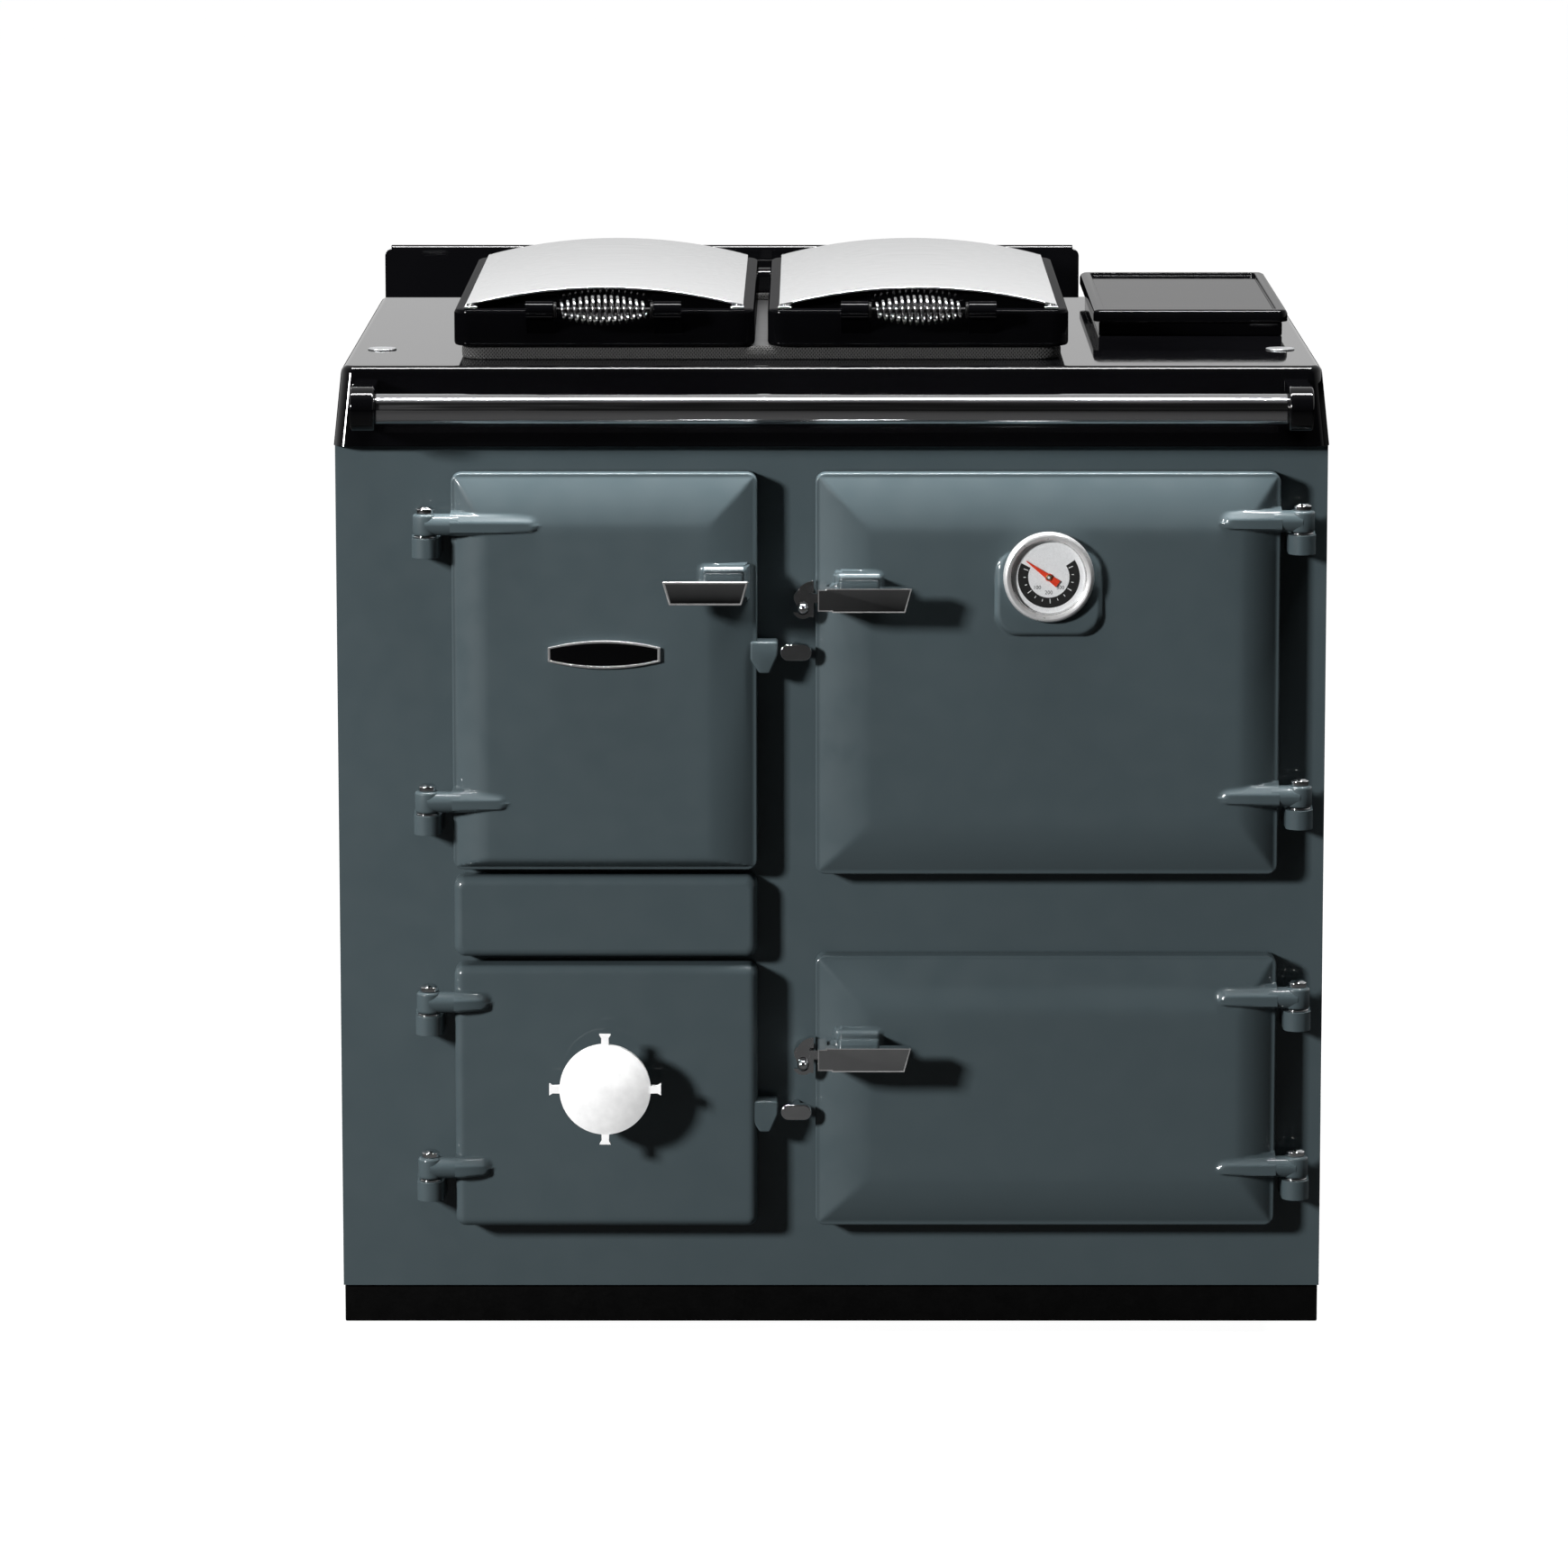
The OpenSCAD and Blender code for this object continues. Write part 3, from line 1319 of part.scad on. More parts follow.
// An oven: a box behind its opening with a flange against the front plate and a runner at each side
module oven_box(d, shelf_z) {
  x = d[0] + opening_inset;
  z = d[2] + opening_inset;
  w = d[1] - 2 * opening_inset;
  h = d[3] - 2 * opening_inset;
  color(steel) in_place() {
    difference() {
      union() {
        translate([x - oven_flange, front_t, z - oven_flange])
          cube([w + 2 * oven_flange, oven_t, h + 2 * oven_flange]);
        translate([x - oven_t, front_t, z - oven_t]) cube([w + 2 * oven_t, oven_d, h + 2 * oven_t]);
      }
      translate([x, front_t - over, z]) cube([w, oven_d - oven_t + over, h]);
    }
    for (rx = [x - 1, x + w - runner_w]) translate([rx, front_t + runner_in, z + shelf_z - runner_w])
      cube([runner_w + 1, oven_d - 2 * runner_in, runner_w]);
  }
}

module main_oven_box() {
  oven_box(main_door, main_shelf_z);
}

module lower_oven_box() {
  oven_box(lower_door, lower_shelf_z);
}

// A grid shelf that rests on the runners: cross bars under a row of thinner wires
module shelf(d, shelf_z) {
  w = d[1] - 2 * opening_inset - 4;
  l = oven_d - 2 * shelf_in;
  r = shelf_wire / 2;
  translate([door_mid(d), front_t + shelf_in, d[2] + opening_inset + shelf_z + r]) {
    for (y = [r, l / 2, l - r]) translate([-w / 2, y, 0]) rod_x(w, r);
    for (i = [0:shelf_wires - 1]) translate([(i / (shelf_wires - 1) - 0.5) * (w - 30), 0, r + 0.6])
      rod_y(l, r * 0.7);
  }
}

module oven_shelves() {
  color(chrome) in_place() {
    shelf(main_door, main_shelf_z);
    shelf(lower_door, lower_shelf_z);
  }
}

/* Firebox */

fire_in = firebox_w - 2 * firebox_t;
fire_x = firebox_x0 + firebox_t;
fire_back = front_t + firebox_d - firebox_t;
fire_z = ledge_z + ledge_t;
foot_z = plinth_h + base_t;

// A room of the firebox or the ashpit between two heights, open to the front
module fire_room(z0, z1) {
  translate([fire_x, front_t - over, z0]) cube([fire_in, firebox_d - firebox_t + over, z1 - z0]);
}

// The firebox's floor is a ledge round the hole that the grate covers
module firebox_shell() {
  hole_w = fire_in - 2 * ledge_w;
  color(iron) in_place() difference() {
    translate([firebox_x0, front_t, ledge_z]) cube([firebox_w, firebox_d, body_top - fire_head - ledge_z]);
    fire_room(fire_z, body_top);
    translate([fire_x + ledge_w, front_t + front_ledge, ledge_z - over])
      cube([hole_w, fire_back - ledge_w - front_t - front_ledge, ledge_t + 2 * over]);
  }
}

module ashpit_shell() {
  color(iron) in_place() difference() {
    translate([firebox_x0, front_t, foot_z]) cube([firebox_w, firebox_d, ledge_z - foot_z]);
    fire_room(ashpit_floor + firebox_t, ledge_z + over);
    fire_room(foot_z - over, ashpit_floor);
  }
}

module firebricks() {
  y0 = front_t + front_ledge;
  h = body_top - fire_head - brick_head - fire_z;
  side_l = fire_back - seat_fit - brick_t - 1 - y0;
  color("#c9b48a") in_place() {
    for (x = [fire_x + seat_fit / 2, fire_x + fire_in - brick_t - seat_fit / 2])
      for (row = [0:2]) translate([x, y0, fire_z + row * h / 3]) cube([brick_t, side_l, h / 3 - 0.5]);
    for (row = [0:2]) translate([fire_x + seat_fit / 2, fire_back - brick_t - seat_fit / 2, fire_z + row * h / 3])
      cube([fire_in - seat_fit, brick_t, h / 3 - 0.5]);
  }
}

module grate() {
  w = fire_in - 2 * brick_t - 3;
  y0 = front_t + front_ledge - 8;
  l = fire_back - brick_t - 2 - y0;
  pitch = (l - 30) / grate_slots;
  color(iron) in_place() translate([door_mid(firebox_door) - w / 2, y0, fire_z]) difference() {
    cube([w, l, grate_t]);
    for (i = [0:grate_slots - 1]) for (s = [0, 1])
      translate([16 + s * (w - 28) / 2, 15 + pitch * (i + 0.2), -over])
        cube([(w - 36) / 2, pitch * 0.6, grate_t + 2 * over]);
  }
}

module ash_pan() {
  w = left_door_w - 2 * opening_inset - 6;
  l = firebox_d - firebox_t - 40;
  color(steel) in_place() translate([door_mid(ashpit_door) - w / 2, front_t + 14, ashpit_floor + firebox_t]) {
    difference() {
      cube([w, l, pan_h]);
      translate([pan_t, pan_t, pan_t]) cube([w - 2 * pan_t, l - 2 * pan_t, pan_h]);
    }
  }
}

plinth();
base_plate();
front_plate();
left_side_panel();
right_side_panel();
back_panel();
top_plate();
splashback();
top_plugs();
rail_brackets();
towel_rail();
filler_panel();
door_hinge_lugs();
door_hinge_pins();
latch_keepers();
hotplate();
hotplate_rope();
lid_hinge_brackets();
lid_hinge_rod();
flue_box();
flue_well();
flue_spigot();
flue_cover();
main_oven_box();
lower_oven_box();
oven_shelves();
firebox_shell();
ashpit_shell();
firebricks();
grate();
ash_pan();
insulation_boards();
firebox_door_casting();
firebox_door_liner();
firebox_door_rope();
firebox_door_pull();
door_badge();
ashpit_door_casting();
ashpit_door_rope();
air_damper();
spin_wheel();
main_door_casting();
main_door_liner();
main_door_rope();
main_door_handle();
thermometer_case();
thermometer_dial();
thermometer_needle();
thermometer_glass();
lower_door_casting();
lower_door_liner();
lower_door_rope();
lower_door_handle();
firebox_catch();
ashpit_catch();
left_lid_casting();
left_lid_cover();
left_lid_handle();
right_lid_casting();
right_lid_cover();
right_lid_handle();
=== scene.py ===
import bpy
import json
from math import asin, atan2, cos, hypot, pi, radians, sin, sqrt
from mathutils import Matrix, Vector


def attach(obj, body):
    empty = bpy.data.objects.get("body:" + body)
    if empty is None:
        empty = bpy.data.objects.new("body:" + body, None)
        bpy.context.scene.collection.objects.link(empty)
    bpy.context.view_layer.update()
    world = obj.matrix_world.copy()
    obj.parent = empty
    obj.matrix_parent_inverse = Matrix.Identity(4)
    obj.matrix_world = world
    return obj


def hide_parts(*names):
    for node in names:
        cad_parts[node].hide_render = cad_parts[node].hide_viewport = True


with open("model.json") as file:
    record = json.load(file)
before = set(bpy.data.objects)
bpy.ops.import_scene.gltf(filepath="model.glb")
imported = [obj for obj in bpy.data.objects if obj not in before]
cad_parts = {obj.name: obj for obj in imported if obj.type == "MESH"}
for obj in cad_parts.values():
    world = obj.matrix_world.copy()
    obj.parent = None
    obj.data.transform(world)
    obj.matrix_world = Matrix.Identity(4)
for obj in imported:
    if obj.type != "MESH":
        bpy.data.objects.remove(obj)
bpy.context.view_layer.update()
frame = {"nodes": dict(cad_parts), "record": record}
nodes = frame["nodes"]
bodyOf = {n: b for b, members in frame["record"]["behaviour"]["bodies"].items() for n in members}
slotOf = {p["node"]: p["material_slot"] for p in frame["record"]["subparts"]}
frontY = -0.2795  # the face of the front plate
print("stage: frame loaded")


# small helpers

def solo(piece):
    active = bpy.context.view_layer.objects.active
    if active and active.mode != "OBJECT":
        bpy.ops.object.mode_set(mode="OBJECT")
    bpy.ops.object.select_all(action="DESELECT")
    piece.select_set(True)
    bpy.context.view_layer.objects.active = piece


def edit(piece):
    solo(piece)
    bpy.ops.object.mode_set(mode="EDIT")
    bpy.ops.mesh.select_all(action="SELECT")


def leave():
    bpy.ops.object.mode_set(mode="OBJECT")


def applyAll(piece):
    solo(piece)
    for m in list(piece.modifiers):
        bpy.ops.object.modifier_apply(modifier=m.name)


def pickFaces(piece, test):
    edit(piece)
    bpy.ops.mesh.select_mode(type="FACE")
    bpy.ops.mesh.select_all(action="DESELECT")
    leave()
    for f in piece.data.polygons:
        f.select = bool(test(f))
    bpy.ops.object.mode_set(mode="EDIT")


def bevelEdges(piece, width, segments, angle=30):
    m = piece.modifiers.new("edges", "BEVEL")
    m.width = width
    m.segments = segments
    m.limit_method = "ANGLE"
    m.angle_limit = radians(angle)
    m.use_clamp_overlap = True
    applyAll(piece)
    return piece


def smoothBy(piece, angle=50):
    solo(piece)
    bpy.ops.object.shade_smooth_by_angle(angle=radians(angle))


def evenNormals(piece, angle):
    smoothBy(piece, angle)
    m = piece.modifiers.new("normals", "WEIGHTED_NORMAL")
    m.keep_sharp = True
    applyAll(piece)


def faceOutward(piece):
    edit(piece)
    bpy.ops.mesh.normals_make_consistent(inside=False)
    leave()


def spot(x, out, z):  # mm from the middle, in front of the front plate and above the floor
    return x / 1000, frontY - out / 1000, z / 1000


def joined(pieces):
    solo(pieces[0])
    for p in pieces:
        p.select_set(True)
    bpy.ops.object.join()
    return pieces[0]


def settle(piece, name, material, body, stands=()):
    solo(piece)
    bpy.ops.object.transform_apply(location=True, rotation=True, scale=True)
    piece.name = name
    piece.data.name = name
    piece.data.materials.clear()
    piece.data.materials.append(material)
    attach(piece, body)
    if stands:
        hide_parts(*stands)
    return piece


weld = {"distance": 0.00001, "flat": radians(0.4)}


def castCopy(node, material, bevel, segments, smooth=50):
    source = nodes[node]
    piece = source.copy()
    piece.data = source.data.copy()
    for key in list(piece.keys()):
        del piece[key]
    piece.parent = None
    bpy.context.scene.collection.objects.link(piece)
    edit(piece)
    bpy.ops.mesh.remove_doubles(threshold=weld["distance"])
    bpy.ops.mesh.dissolve_limited(angle_limit=weld["flat"])
    leave()
    if bevel:
        bevelEdges(piece, bevel, segments)
    evenNormals(piece, smooth)
    return settle(piece, node + "_finish", material, bodyOf[node], [node])


# materials

def startMaterial(name):
    made = bpy.data.materials.new(name)
    made.use_nodes = True
    tree = made.node_tree
    place = tree.nodes.new("ShaderNodeTexCoord")
    return made, tree, tree.nodes["Principled BSDF"], place.outputs["Object"]


def addNoise(tree, place, scale, detail=3.0, stretch=(1, 1, 1)):
    turn = tree.nodes.new("ShaderNodeMapping")
    turn.inputs["Scale"].default_value = stretch
    tree.links.new(place, turn.inputs["Vector"])
    noise = tree.nodes.new("ShaderNodeTexNoise")
    noise.inputs["Scale"].default_value = scale
    noise.inputs["Detail"].default_value = detail
    tree.links.new(turn.outputs["Vector"], noise.inputs["Vector"])
    return noise.outputs["Fac"]


def spreadOf(tree, value, low, high, fromLow=0.3, fromHigh=0.7):
    r = tree.nodes.new("ShaderNodeMapRange")
    r.inputs["From Min"].default_value = fromLow
    r.inputs["From Max"].default_value = fromHigh
    r.inputs["To Min"].default_value = low
    r.inputs["To Max"].default_value = high
    tree.links.new(value, r.inputs["Value"])
    return r.outputs["Result"]


def blendColours(tree, value, dark, light, fromLow=0.3, fromHigh=0.7):
    ramp = tree.nodes.new("ShaderNodeValToRGB")
    ramp.color_ramp.elements[0].position = fromLow
    ramp.color_ramp.elements[1].position = fromHigh
    ramp.color_ramp.elements[0].color = (*dark, 1)
    ramp.color_ramp.elements[1].color = (*light, 1)
    tree.links.new(value, ramp.inputs["Fac"])
    return ramp.outputs["Color"]


def combined(tree, operation, first, second):
    both = tree.nodes.new("ShaderNodeMath")
    both.operation = operation
    tree.links.new(first, both.inputs[0])
    tree.links.new(second, both.inputs[1])
    return both.outputs[0]


def mixed(tree, factor, first, second):
    mix = tree.nodes.new("ShaderNodeMix")
    tree.links.new(factor, mix.inputs["Factor"])
    for socket, value in (("A", first), ("B", second)):
        if isinstance(value, float):
            mix.inputs[socket].default_value = value
        else:
            tree.links.new(value, mix.inputs[socket])
    return mix.outputs["Result"]


def addBump(tree, shader, value, distance, strength=1.0, under=None):
    bump = tree.nodes.new("ShaderNodeBump")
    bump.inputs["Distance"].default_value = distance
    bump.inputs["Strength"].default_value = strength
    tree.links.new(value, bump.inputs["Height"])
    if under:
        tree.links.new(under.outputs["Normal"], bump.inputs["Normal"])
    tree.links.new(bump.outputs["Normal"], shader.inputs["Normal"])
    return bump


def enamelPaint(name, dark, light, rough, coat, peel, under):
    made, tree, shader, place = startMaterial(name)
    cloud = addNoise(tree, place, 5, 4)
    tree.links.new(blendColours(tree, cloud, dark, light), shader.inputs["Base Color"])
    wear = spreadOf(tree, addNoise(tree, place, 38, 5), rough * 0.75, rough * 1.35)
    tree.links.new(wear, shader.inputs["Roughness"])
    first = addBump(tree, shader, addNoise(tree, place, 55, 2), 0.0006, peel)
    addBump(tree, shader, addNoise(tree, place, 420, 2), 0.00008, peel, first)
    shader.inputs["Specular IOR Level"].default_value = under
    shader.inputs["Coat Weight"].default_value = coat
    shader.inputs["Coat Roughness"].default_value = 0.04
    return made


def metalPaint(name, colour, rough, grain=(1, 1, 1), scale=40, depth=0.00002, spread=0.25, metallic=1.0):
    made, tree, shader, place = startMaterial(name)
    grainNoise = addNoise(tree, place, scale, 6, grain)
    shade = tuple(c * 0.9 for c in colour)
    tree.links.new(blendColours(tree, grainNoise, shade, colour), shader.inputs["Base Color"])
    wear = spreadOf(tree, grainNoise, rough * (1 - spread), rough * (1 + spread))
    tree.links.new(wear, shader.inputs["Roughness"])
    addBump(tree, shader, grainNoise, depth, 0.5)
    shader.inputs["Metallic"].default_value = metallic
    return made


# steel whose colour is painted lighter at the front and darker towards the back: a painted reflection
# gradient
def coverPaintedSheen(name, litFrontTone, shadedBackTone, frontEnd=-0.22, backEnd=0.24):
    made = metalPaint(name, litFrontTone, 0.22, (1, 60, 60), 14, 0.000008, 0.18)
    tree = made.node_tree
    apart = tree.nodes.new("ShaderNodeSeparateXYZ")
    place = next(n for n in tree.nodes if n.type == "TEX_COORD").outputs["Object"]
    tree.links.new(place, apart.inputs["Vector"])
    # how far back a point lies sets the painted fade from reflection at the front to shade at the back
    back = spreadOf(tree, apart.outputs["Y"], 0, 1, frontEnd, backEnd)
    tone = blendColours(tree, back, litFrontTone, shadedBackTone, 0, 1)
    tree.links.new(tone, tree.nodes["Principled BSDF"].inputs["Base Color"])
    return made


def roughPaint(name, dark, light, rough, scale, depth, metallic=0.0, specular=0.5):
    made, tree, shader, place = startMaterial(name)
    coarse = addNoise(tree, place, scale, 8)
    fine = addNoise(tree, place, scale * 7, 4)
    tree.links.new(blendColours(tree, coarse, dark, light), shader.inputs["Base Color"])
    tree.links.new(spreadOf(tree, fine, rough * 0.8, min(rough * 1.15, 1)), shader.inputs["Roughness"])
    first = addBump(tree, shader, coarse, depth, 0.7)
    addBump(tree, shader, fine, depth * 0.3, 0.7, first)
    shader.inputs["Metallic"].default_value = metallic
    shader.inputs["Specular IOR Level"].default_value = specular
    return made


def spanglePaint(name):
    made, tree, shader, place = startMaterial(name)
    cells = tree.nodes.new("ShaderNodeTexVoronoi")
    cells.inputs["Scale"].default_value = 70
    tree.links.new(place, cells.inputs["Vector"])
    tone = blendColours(tree, cells.outputs["Color"], (0.4, 0.42, 0.44), (0.46, 0.48, 0.5), 0.1, 0.9)
    tree.links.new(tone, shader.inputs["Base Color"])
    tree.links.new(spreadOf(tree, cells.outputs["Color"], 0.36, 0.44, 0.1, 0.9), shader.inputs["Roughness"])
    shader.inputs["Metallic"].default_value = 1.0
    return made


def ropePaint(name):
    made, tree, shader, place = startMaterial(name)
    uv = tree.nodes.new("ShaderNodeUVMap")
    plaits = []
    for lean in (1, -1):
        turn = tree.nodes.new("ShaderNodeMapping")
        turn.inputs["Rotation"].default_value = (0, 0, radians(38 * lean))
        tree.links.new(uv.outputs["UV"], turn.inputs["Vector"])
        wave = tree.nodes.new("ShaderNodeTexWave")
        wave.bands_direction = "X"
        wave.inputs["Scale"].default_value = 1.0
        tree.links.new(turn.outputs["Vector"], wave.inputs["Vector"])
        plaits.append(wave.outputs["Fac"])
    over = combined(tree, "MAXIMUM", *plaits)
    fibre = addNoise(tree, place, 900, 3)
    # the plaits' grooves are painted darker than their crests: painted shade in the grooves, on top of the
    # bump
    tone = blendColours(tree, over, (0.003, 0.003, 0.0033), (0.03, 0.029, 0.028), 0.35, 0.95)
    tree.links.new(tone, shader.inputs["Base Color"])
    first = addBump(tree, shader, over, 0.0012, 1.0)
    addBump(tree, shader, fibre, 0.0003, 0.8, first)
    shader.inputs["Roughness"].default_value = 0.85
    shader.inputs["Sheen Weight"].default_value = 0.15
    return made


def glassPaint(name):
    made, tree, shader, place = startMaterial(name)
    clear = tree.nodes.new("ShaderNodeBsdfTransparent")
    mix = tree.nodes.new("ShaderNodeMixShader")
    shader.inputs["Base Color"].default_value = (0.9, 0.95, 0.95, 1)
    shader.inputs["Metallic"].default_value = 1.0
    tree.links.new(spreadOf(tree, addNoise(tree, place, 60, 4), 0.02, 0.05), shader.inputs["Roughness"])
    mix.inputs["Fac"].default_value = 0.05
    tree.links.new(clear.outputs["BSDF"], mix.inputs[1])
    tree.links.new(shader.outputs["BSDF"], mix.inputs[2])
    tree.links.new(mix.outputs["Shader"], tree.nodes["Material Output"].inputs["Surface"])
    return made


soot = ((0.0008, 0.0008, 0.001), (0.0014, 0.0014, 0.0017))
slate = ((0.0485, 0.066, 0.0728), (0.0508, 0.0693, 0.0764))
slateEnamel = enamelPaint("slateEnamel", *slate, 0.42, 0.5, 0.06, 0.15)
blackEnamel = enamelPaint("blackEnamel", *soot, 0.3, 0.72, 0.05, 0.0)
lidEnamel = enamelPaint("lidEnamel", *soot, 0.3, 0.12, 0.05, 0.0)
flueEnamel = enamelPaint("flueEnamel", *soot, 0.3, 0.42, 0.05, 0.0)
blackPaint = roughPaint("blackPaint", (0.0014, 0.0014, 0.0014), (0.0024, 0.0024, 0.0024), 0.4, 60, 0.0001,
                        specular=0.1)
bareIron = roughPaint("bareIron", (0.02, 0.02, 0.021), (0.045, 0.043, 0.042), 0.7, 90, 0.0004, 0.6)
machinedIron = metalPaint("machinedIron", (0.2, 0.2, 0.205), 0.38, (1, 40, 1), 30, 0.00003)
chrome = metalPaint("chrome", (0.72, 0.73, 0.74), 0.07, (1, 1, 1), 60, 0.000006, 0.4)
satinChrome = metalPaint("satinChrome", (0.6, 0.61, 0.615), 0.22, (1, 60, 60), 14, 0.000008, 0.18)
# the lid covers' steel, with a painted reflection gradient from light at the front to dark at the back
coverSteelPaintedSheen = coverPaintedSheen("coverSteelPaintedSheen", (0.64, 0.645, 0.65), (0.39, 0.395, 0.4))
polishedSteel = metalPaint("polishedSteel", (0.56, 0.56, 0.57), 0.11, (1, 50, 50), 10, 0.000008, 0.3)
# the spin wheel is painted near-white and not metallic: a painted highlight standing in for its glare
wheelPaintedGlare = metalPaint("wheelPaintedGlare", (0.96, 0.96, 0.96), 0.42, (1, 1, 1), 120, 0.00001, 0.2, metallic=0.0)
# the bezel's metal is only part metallic, with a white diffuse share: painted brightness in place of part of
# its reflection
bezelPaintedShine = metalPaint("bezelPaintedShine", (0.88, 0.88, 0.88), 0.3, (1, 1, 1), 200, 0.000002, 0.1, metallic=0.6)
rimAlloy = metalPaint("rimAlloy", (0.5, 0.5, 0.5), 0.25, (1, 1, 1), 200, 0.000002, 0.1, metallic=0.7)
coilSteel = metalPaint("coilSteel", (0.42, 0.42, 0.425), 0.16, (1, 1, 1), 200, 0.000004, 0.2)
plainSteel = metalPaint("plainSteel", (0.4, 0.41, 0.42), 0.36, (1, 12, 12), 20, 0.00002)
galvanised = spanglePaint("galvanised")
rope = ropePaint("rope")
firebrick = roughPaint("firebrick", (0.42, 0.31, 0.18), (0.6, 0.47, 0.3), 0.95, 120, 0.0008)
insulation = roughPaint("insulation", (0.5, 0.44, 0.3), (0.6, 0.54, 0.4), 0.95, 160, 0.0006)
dialWhite = metalPaint("dialWhite", (0.86, 0.87, 0.88), 0.5, (1, 1, 1), 500, 0.00001, metallic=0.2)
dialBlack = roughPaint("dialBlack", (0.006, 0.006, 0.006), (0.012, 0.012, 0.012), 0.45, 400, 0.00001)
needleRed = roughPaint("needleRed", (0.62, 0.035, 0.012), (0.72, 0.06, 0.02), 0.35, 400, 0.00001)
brassHub = metalPaint("brassHub", (0.6, 0.42, 0.2), 0.25)
clearGlass = glassPaint("clearGlass")
paintOf = {
    "slate_enamel": slateEnamel, "black_enamel": blackEnamel, "black_paint": blackPaint,
    "bare_iron": bareIron, "machined_iron": machinedIron, "chrome": chrome, "satin_chrome": satinChrome,
    "polished_steel": polishedSteel, "steel": plainSteel, "galvanised_steel": galvanised, "rope": rope,
    "firebrick": firebrick, "insulation": insulation, "dial": dialWhite, "needle": needleRed,
    "clear_glass": clearGlass,
}
for nodeName, nodeObject in nodes.items():
    nodeObject.data.materials.clear()
    nodeObject.data.materials.append(paintOf[slotOf[nodeName]])
print("stage: materials made")

# doors
# Sizes in mm as in the CAD: left edge, width, foot, height, side of the hinge, eyes' heights and arms'
# lengths. Slopes are as wide as these, from the left, the right, the top and the foot.

doorShapes = {
    "firebox": dict(node="firebox_door_casting", left=-332, width=267, foot=414, height=351, side=-1,
                    hinge=-354, eyes=[(721, 100), (476, 72)], thick=34, slopes=(34, 48, 52, 10)),
    "ashpit": dict(node="ashpit_door_casting", left=-332, width=267, foot=94, height=235, side=-1,
                   hinge=-354, eyes=[(297, 56), (148, 56)], thick=27, slopes=None),
    "main": dict(node="main_door_casting", left=-14, width=406, foot=410, height=355, side=1,
                 hinge=410, eyes=[(724, 72), (481, 72)], thick=34, slopes=(54, 38, 56, 52)),
    "lower": dict(node="lower_door_casting", left=-14, width=406, foot=94, height=243, side=1,
                  hinge=410, eyes=[(301, 72), (149, 72)], thick=34, slopes=(54, 38, 56, 52)),
}
castingForm = {"gap": 3, "lip": 20.5, "lipFlat": 3.2, "edge": 1.6, "corner": 9, "rim": 14, "recess": 11,
               "flatEdge": 8, "mitre": 0.05, "eyeRadius": 11, "eyeHeight": 19, "hingeOut": 30, "ear": 25}
# armTop is the crest's height off the door's back; a flank falls at a rate from a share of the half height
armForm = {"armTop": 38.5, "tipRise": 1.5, "half": 9.6, "taper": 1.6, "tip": 9, "zone": 16, "past": 4,
           "upperFlank": (8, 0.3), "lowerFlank": (20, 0.65), "side": 45, "sideEnd": 1.6, "blend": 2}
# a boss carries each pull and stands in a collar; above and below are from the middle of its round end
bossForm = {"width": 36, "from": 25, "to": 67, "below": 10, "above": 16, "corner": 2}


def lines(length, fine, places, step=2.6, closeStep=1.1, last=0.6):
    marks = fine + [length - f for f in fine]
    at = fine[-1]
    while at < length - fine[-1]:
        near = any(abs(at - p) < reach for p, reach in places)
        at += closeStep if near else step
        if at < length - fine[-1] - last:
            marks.append(at)
    return sorted(set(marks))


def softMax(a, b, k):
    h = max(k - abs(a - b), 0) / k
    return max(a, b) + h * h * k / 4


def softMin(a, b, k):
    return -softMax(-a, -b, k)


def roundedRect(x, z, cx, cz, halfX, halfZ, r):
    qx, qz = abs(x - cx) - halfX + r, abs(z - cz) - halfZ + r
    return hypot(max(qx, 0), max(qz, 0)) + min(max(qx, qz), 0) - r


def doorHeight(d, features, x, z):
    w, h, t, f = d["width"], d["height"], d["thick"], castingForm
    qx, qz = max(abs(x - w / 2) - w / 2 + f["corner"], 0), max(abs(z - h / 2) - h / 2 + f["corner"], 0)
    edge = f["corner"] - hypot(qx, qz) if qx > 0 and qz > 0 else min(x, w - x, z, h - z)
    edge = max(edge, 0)
    if d["slopes"]:
        rise = 1.0
        for dist, slope in zip((x, w - x, h - z, z), d["slopes"]):
            u = min(max((dist - f["lipFlat"]) / slope, 0), 1)
            rise = softMin(rise, u * (2 - u), f["mitre"])
        height = f["lip"] + (t - f["lip"]) * max(rise, 0)
        r = f["edge"]
    else:
        height = t
        r = f["flatEdge"]
    if edge < r:
        height = min(height, height - r + sqrt(max(r * r - (r - edge) ** 2, 0)))
    for feature in features:
        height = feature(height, x, z)
    return height


def armHalf(u):
    return armForm["half"] - armForm["taper"] * u * u


def armCrest(u, thick):
    return armForm["armTop"] - u ** 4 * (armForm["armTop"] - thick - armForm["tipRise"])


def armFeature(d, z0, length):
    hingeAt = d["hinge"] - d["left"]
    a = armForm

    def add(height, x, z):
        along = (x - hingeAt) * -d["side"]
        if along > length + a["past"] or abs(z - z0) > a["zone"]:
            return height
        u = min(max(along / length, 0), 1)
        end = max(along - length + a["tip"], 0) / a["tip"]
        out = hypot(abs(z - z0) / armHalf(u), end)
        if out >= a["sideEnd"]:
            return height
        rate, start = a["upperFlank"] if z > z0 else a["lowerFlank"]
        flank = rate * max(out - start, 0)
        return softMax(height, armCrest(u, d["thick"]) - flank - a["side"] * max(out - 1, 0), a["blend"])

    return add


def padFeature(p, thick):
    def add(height, x, z):
        out = roundedRect(x, z, p["x"], p["z"], p["halfX"], p["halfZ"], p["corner"])
        if out > p["zone"]:
            return height
        down = max(p["z"] + p["halfZ"] - z, 0)
        top = thick + min(p["low"] + (p["high"] - p["low"]) * down / (2 * p["halfZ"]), down * p["lean"])
        fall = p["bend"] * max(out + p["round"], 0) ** 2 if out < 0 else p["drop"] + out * p["side"]
        return softMax(height, top - fall, p["blend"])
    return add


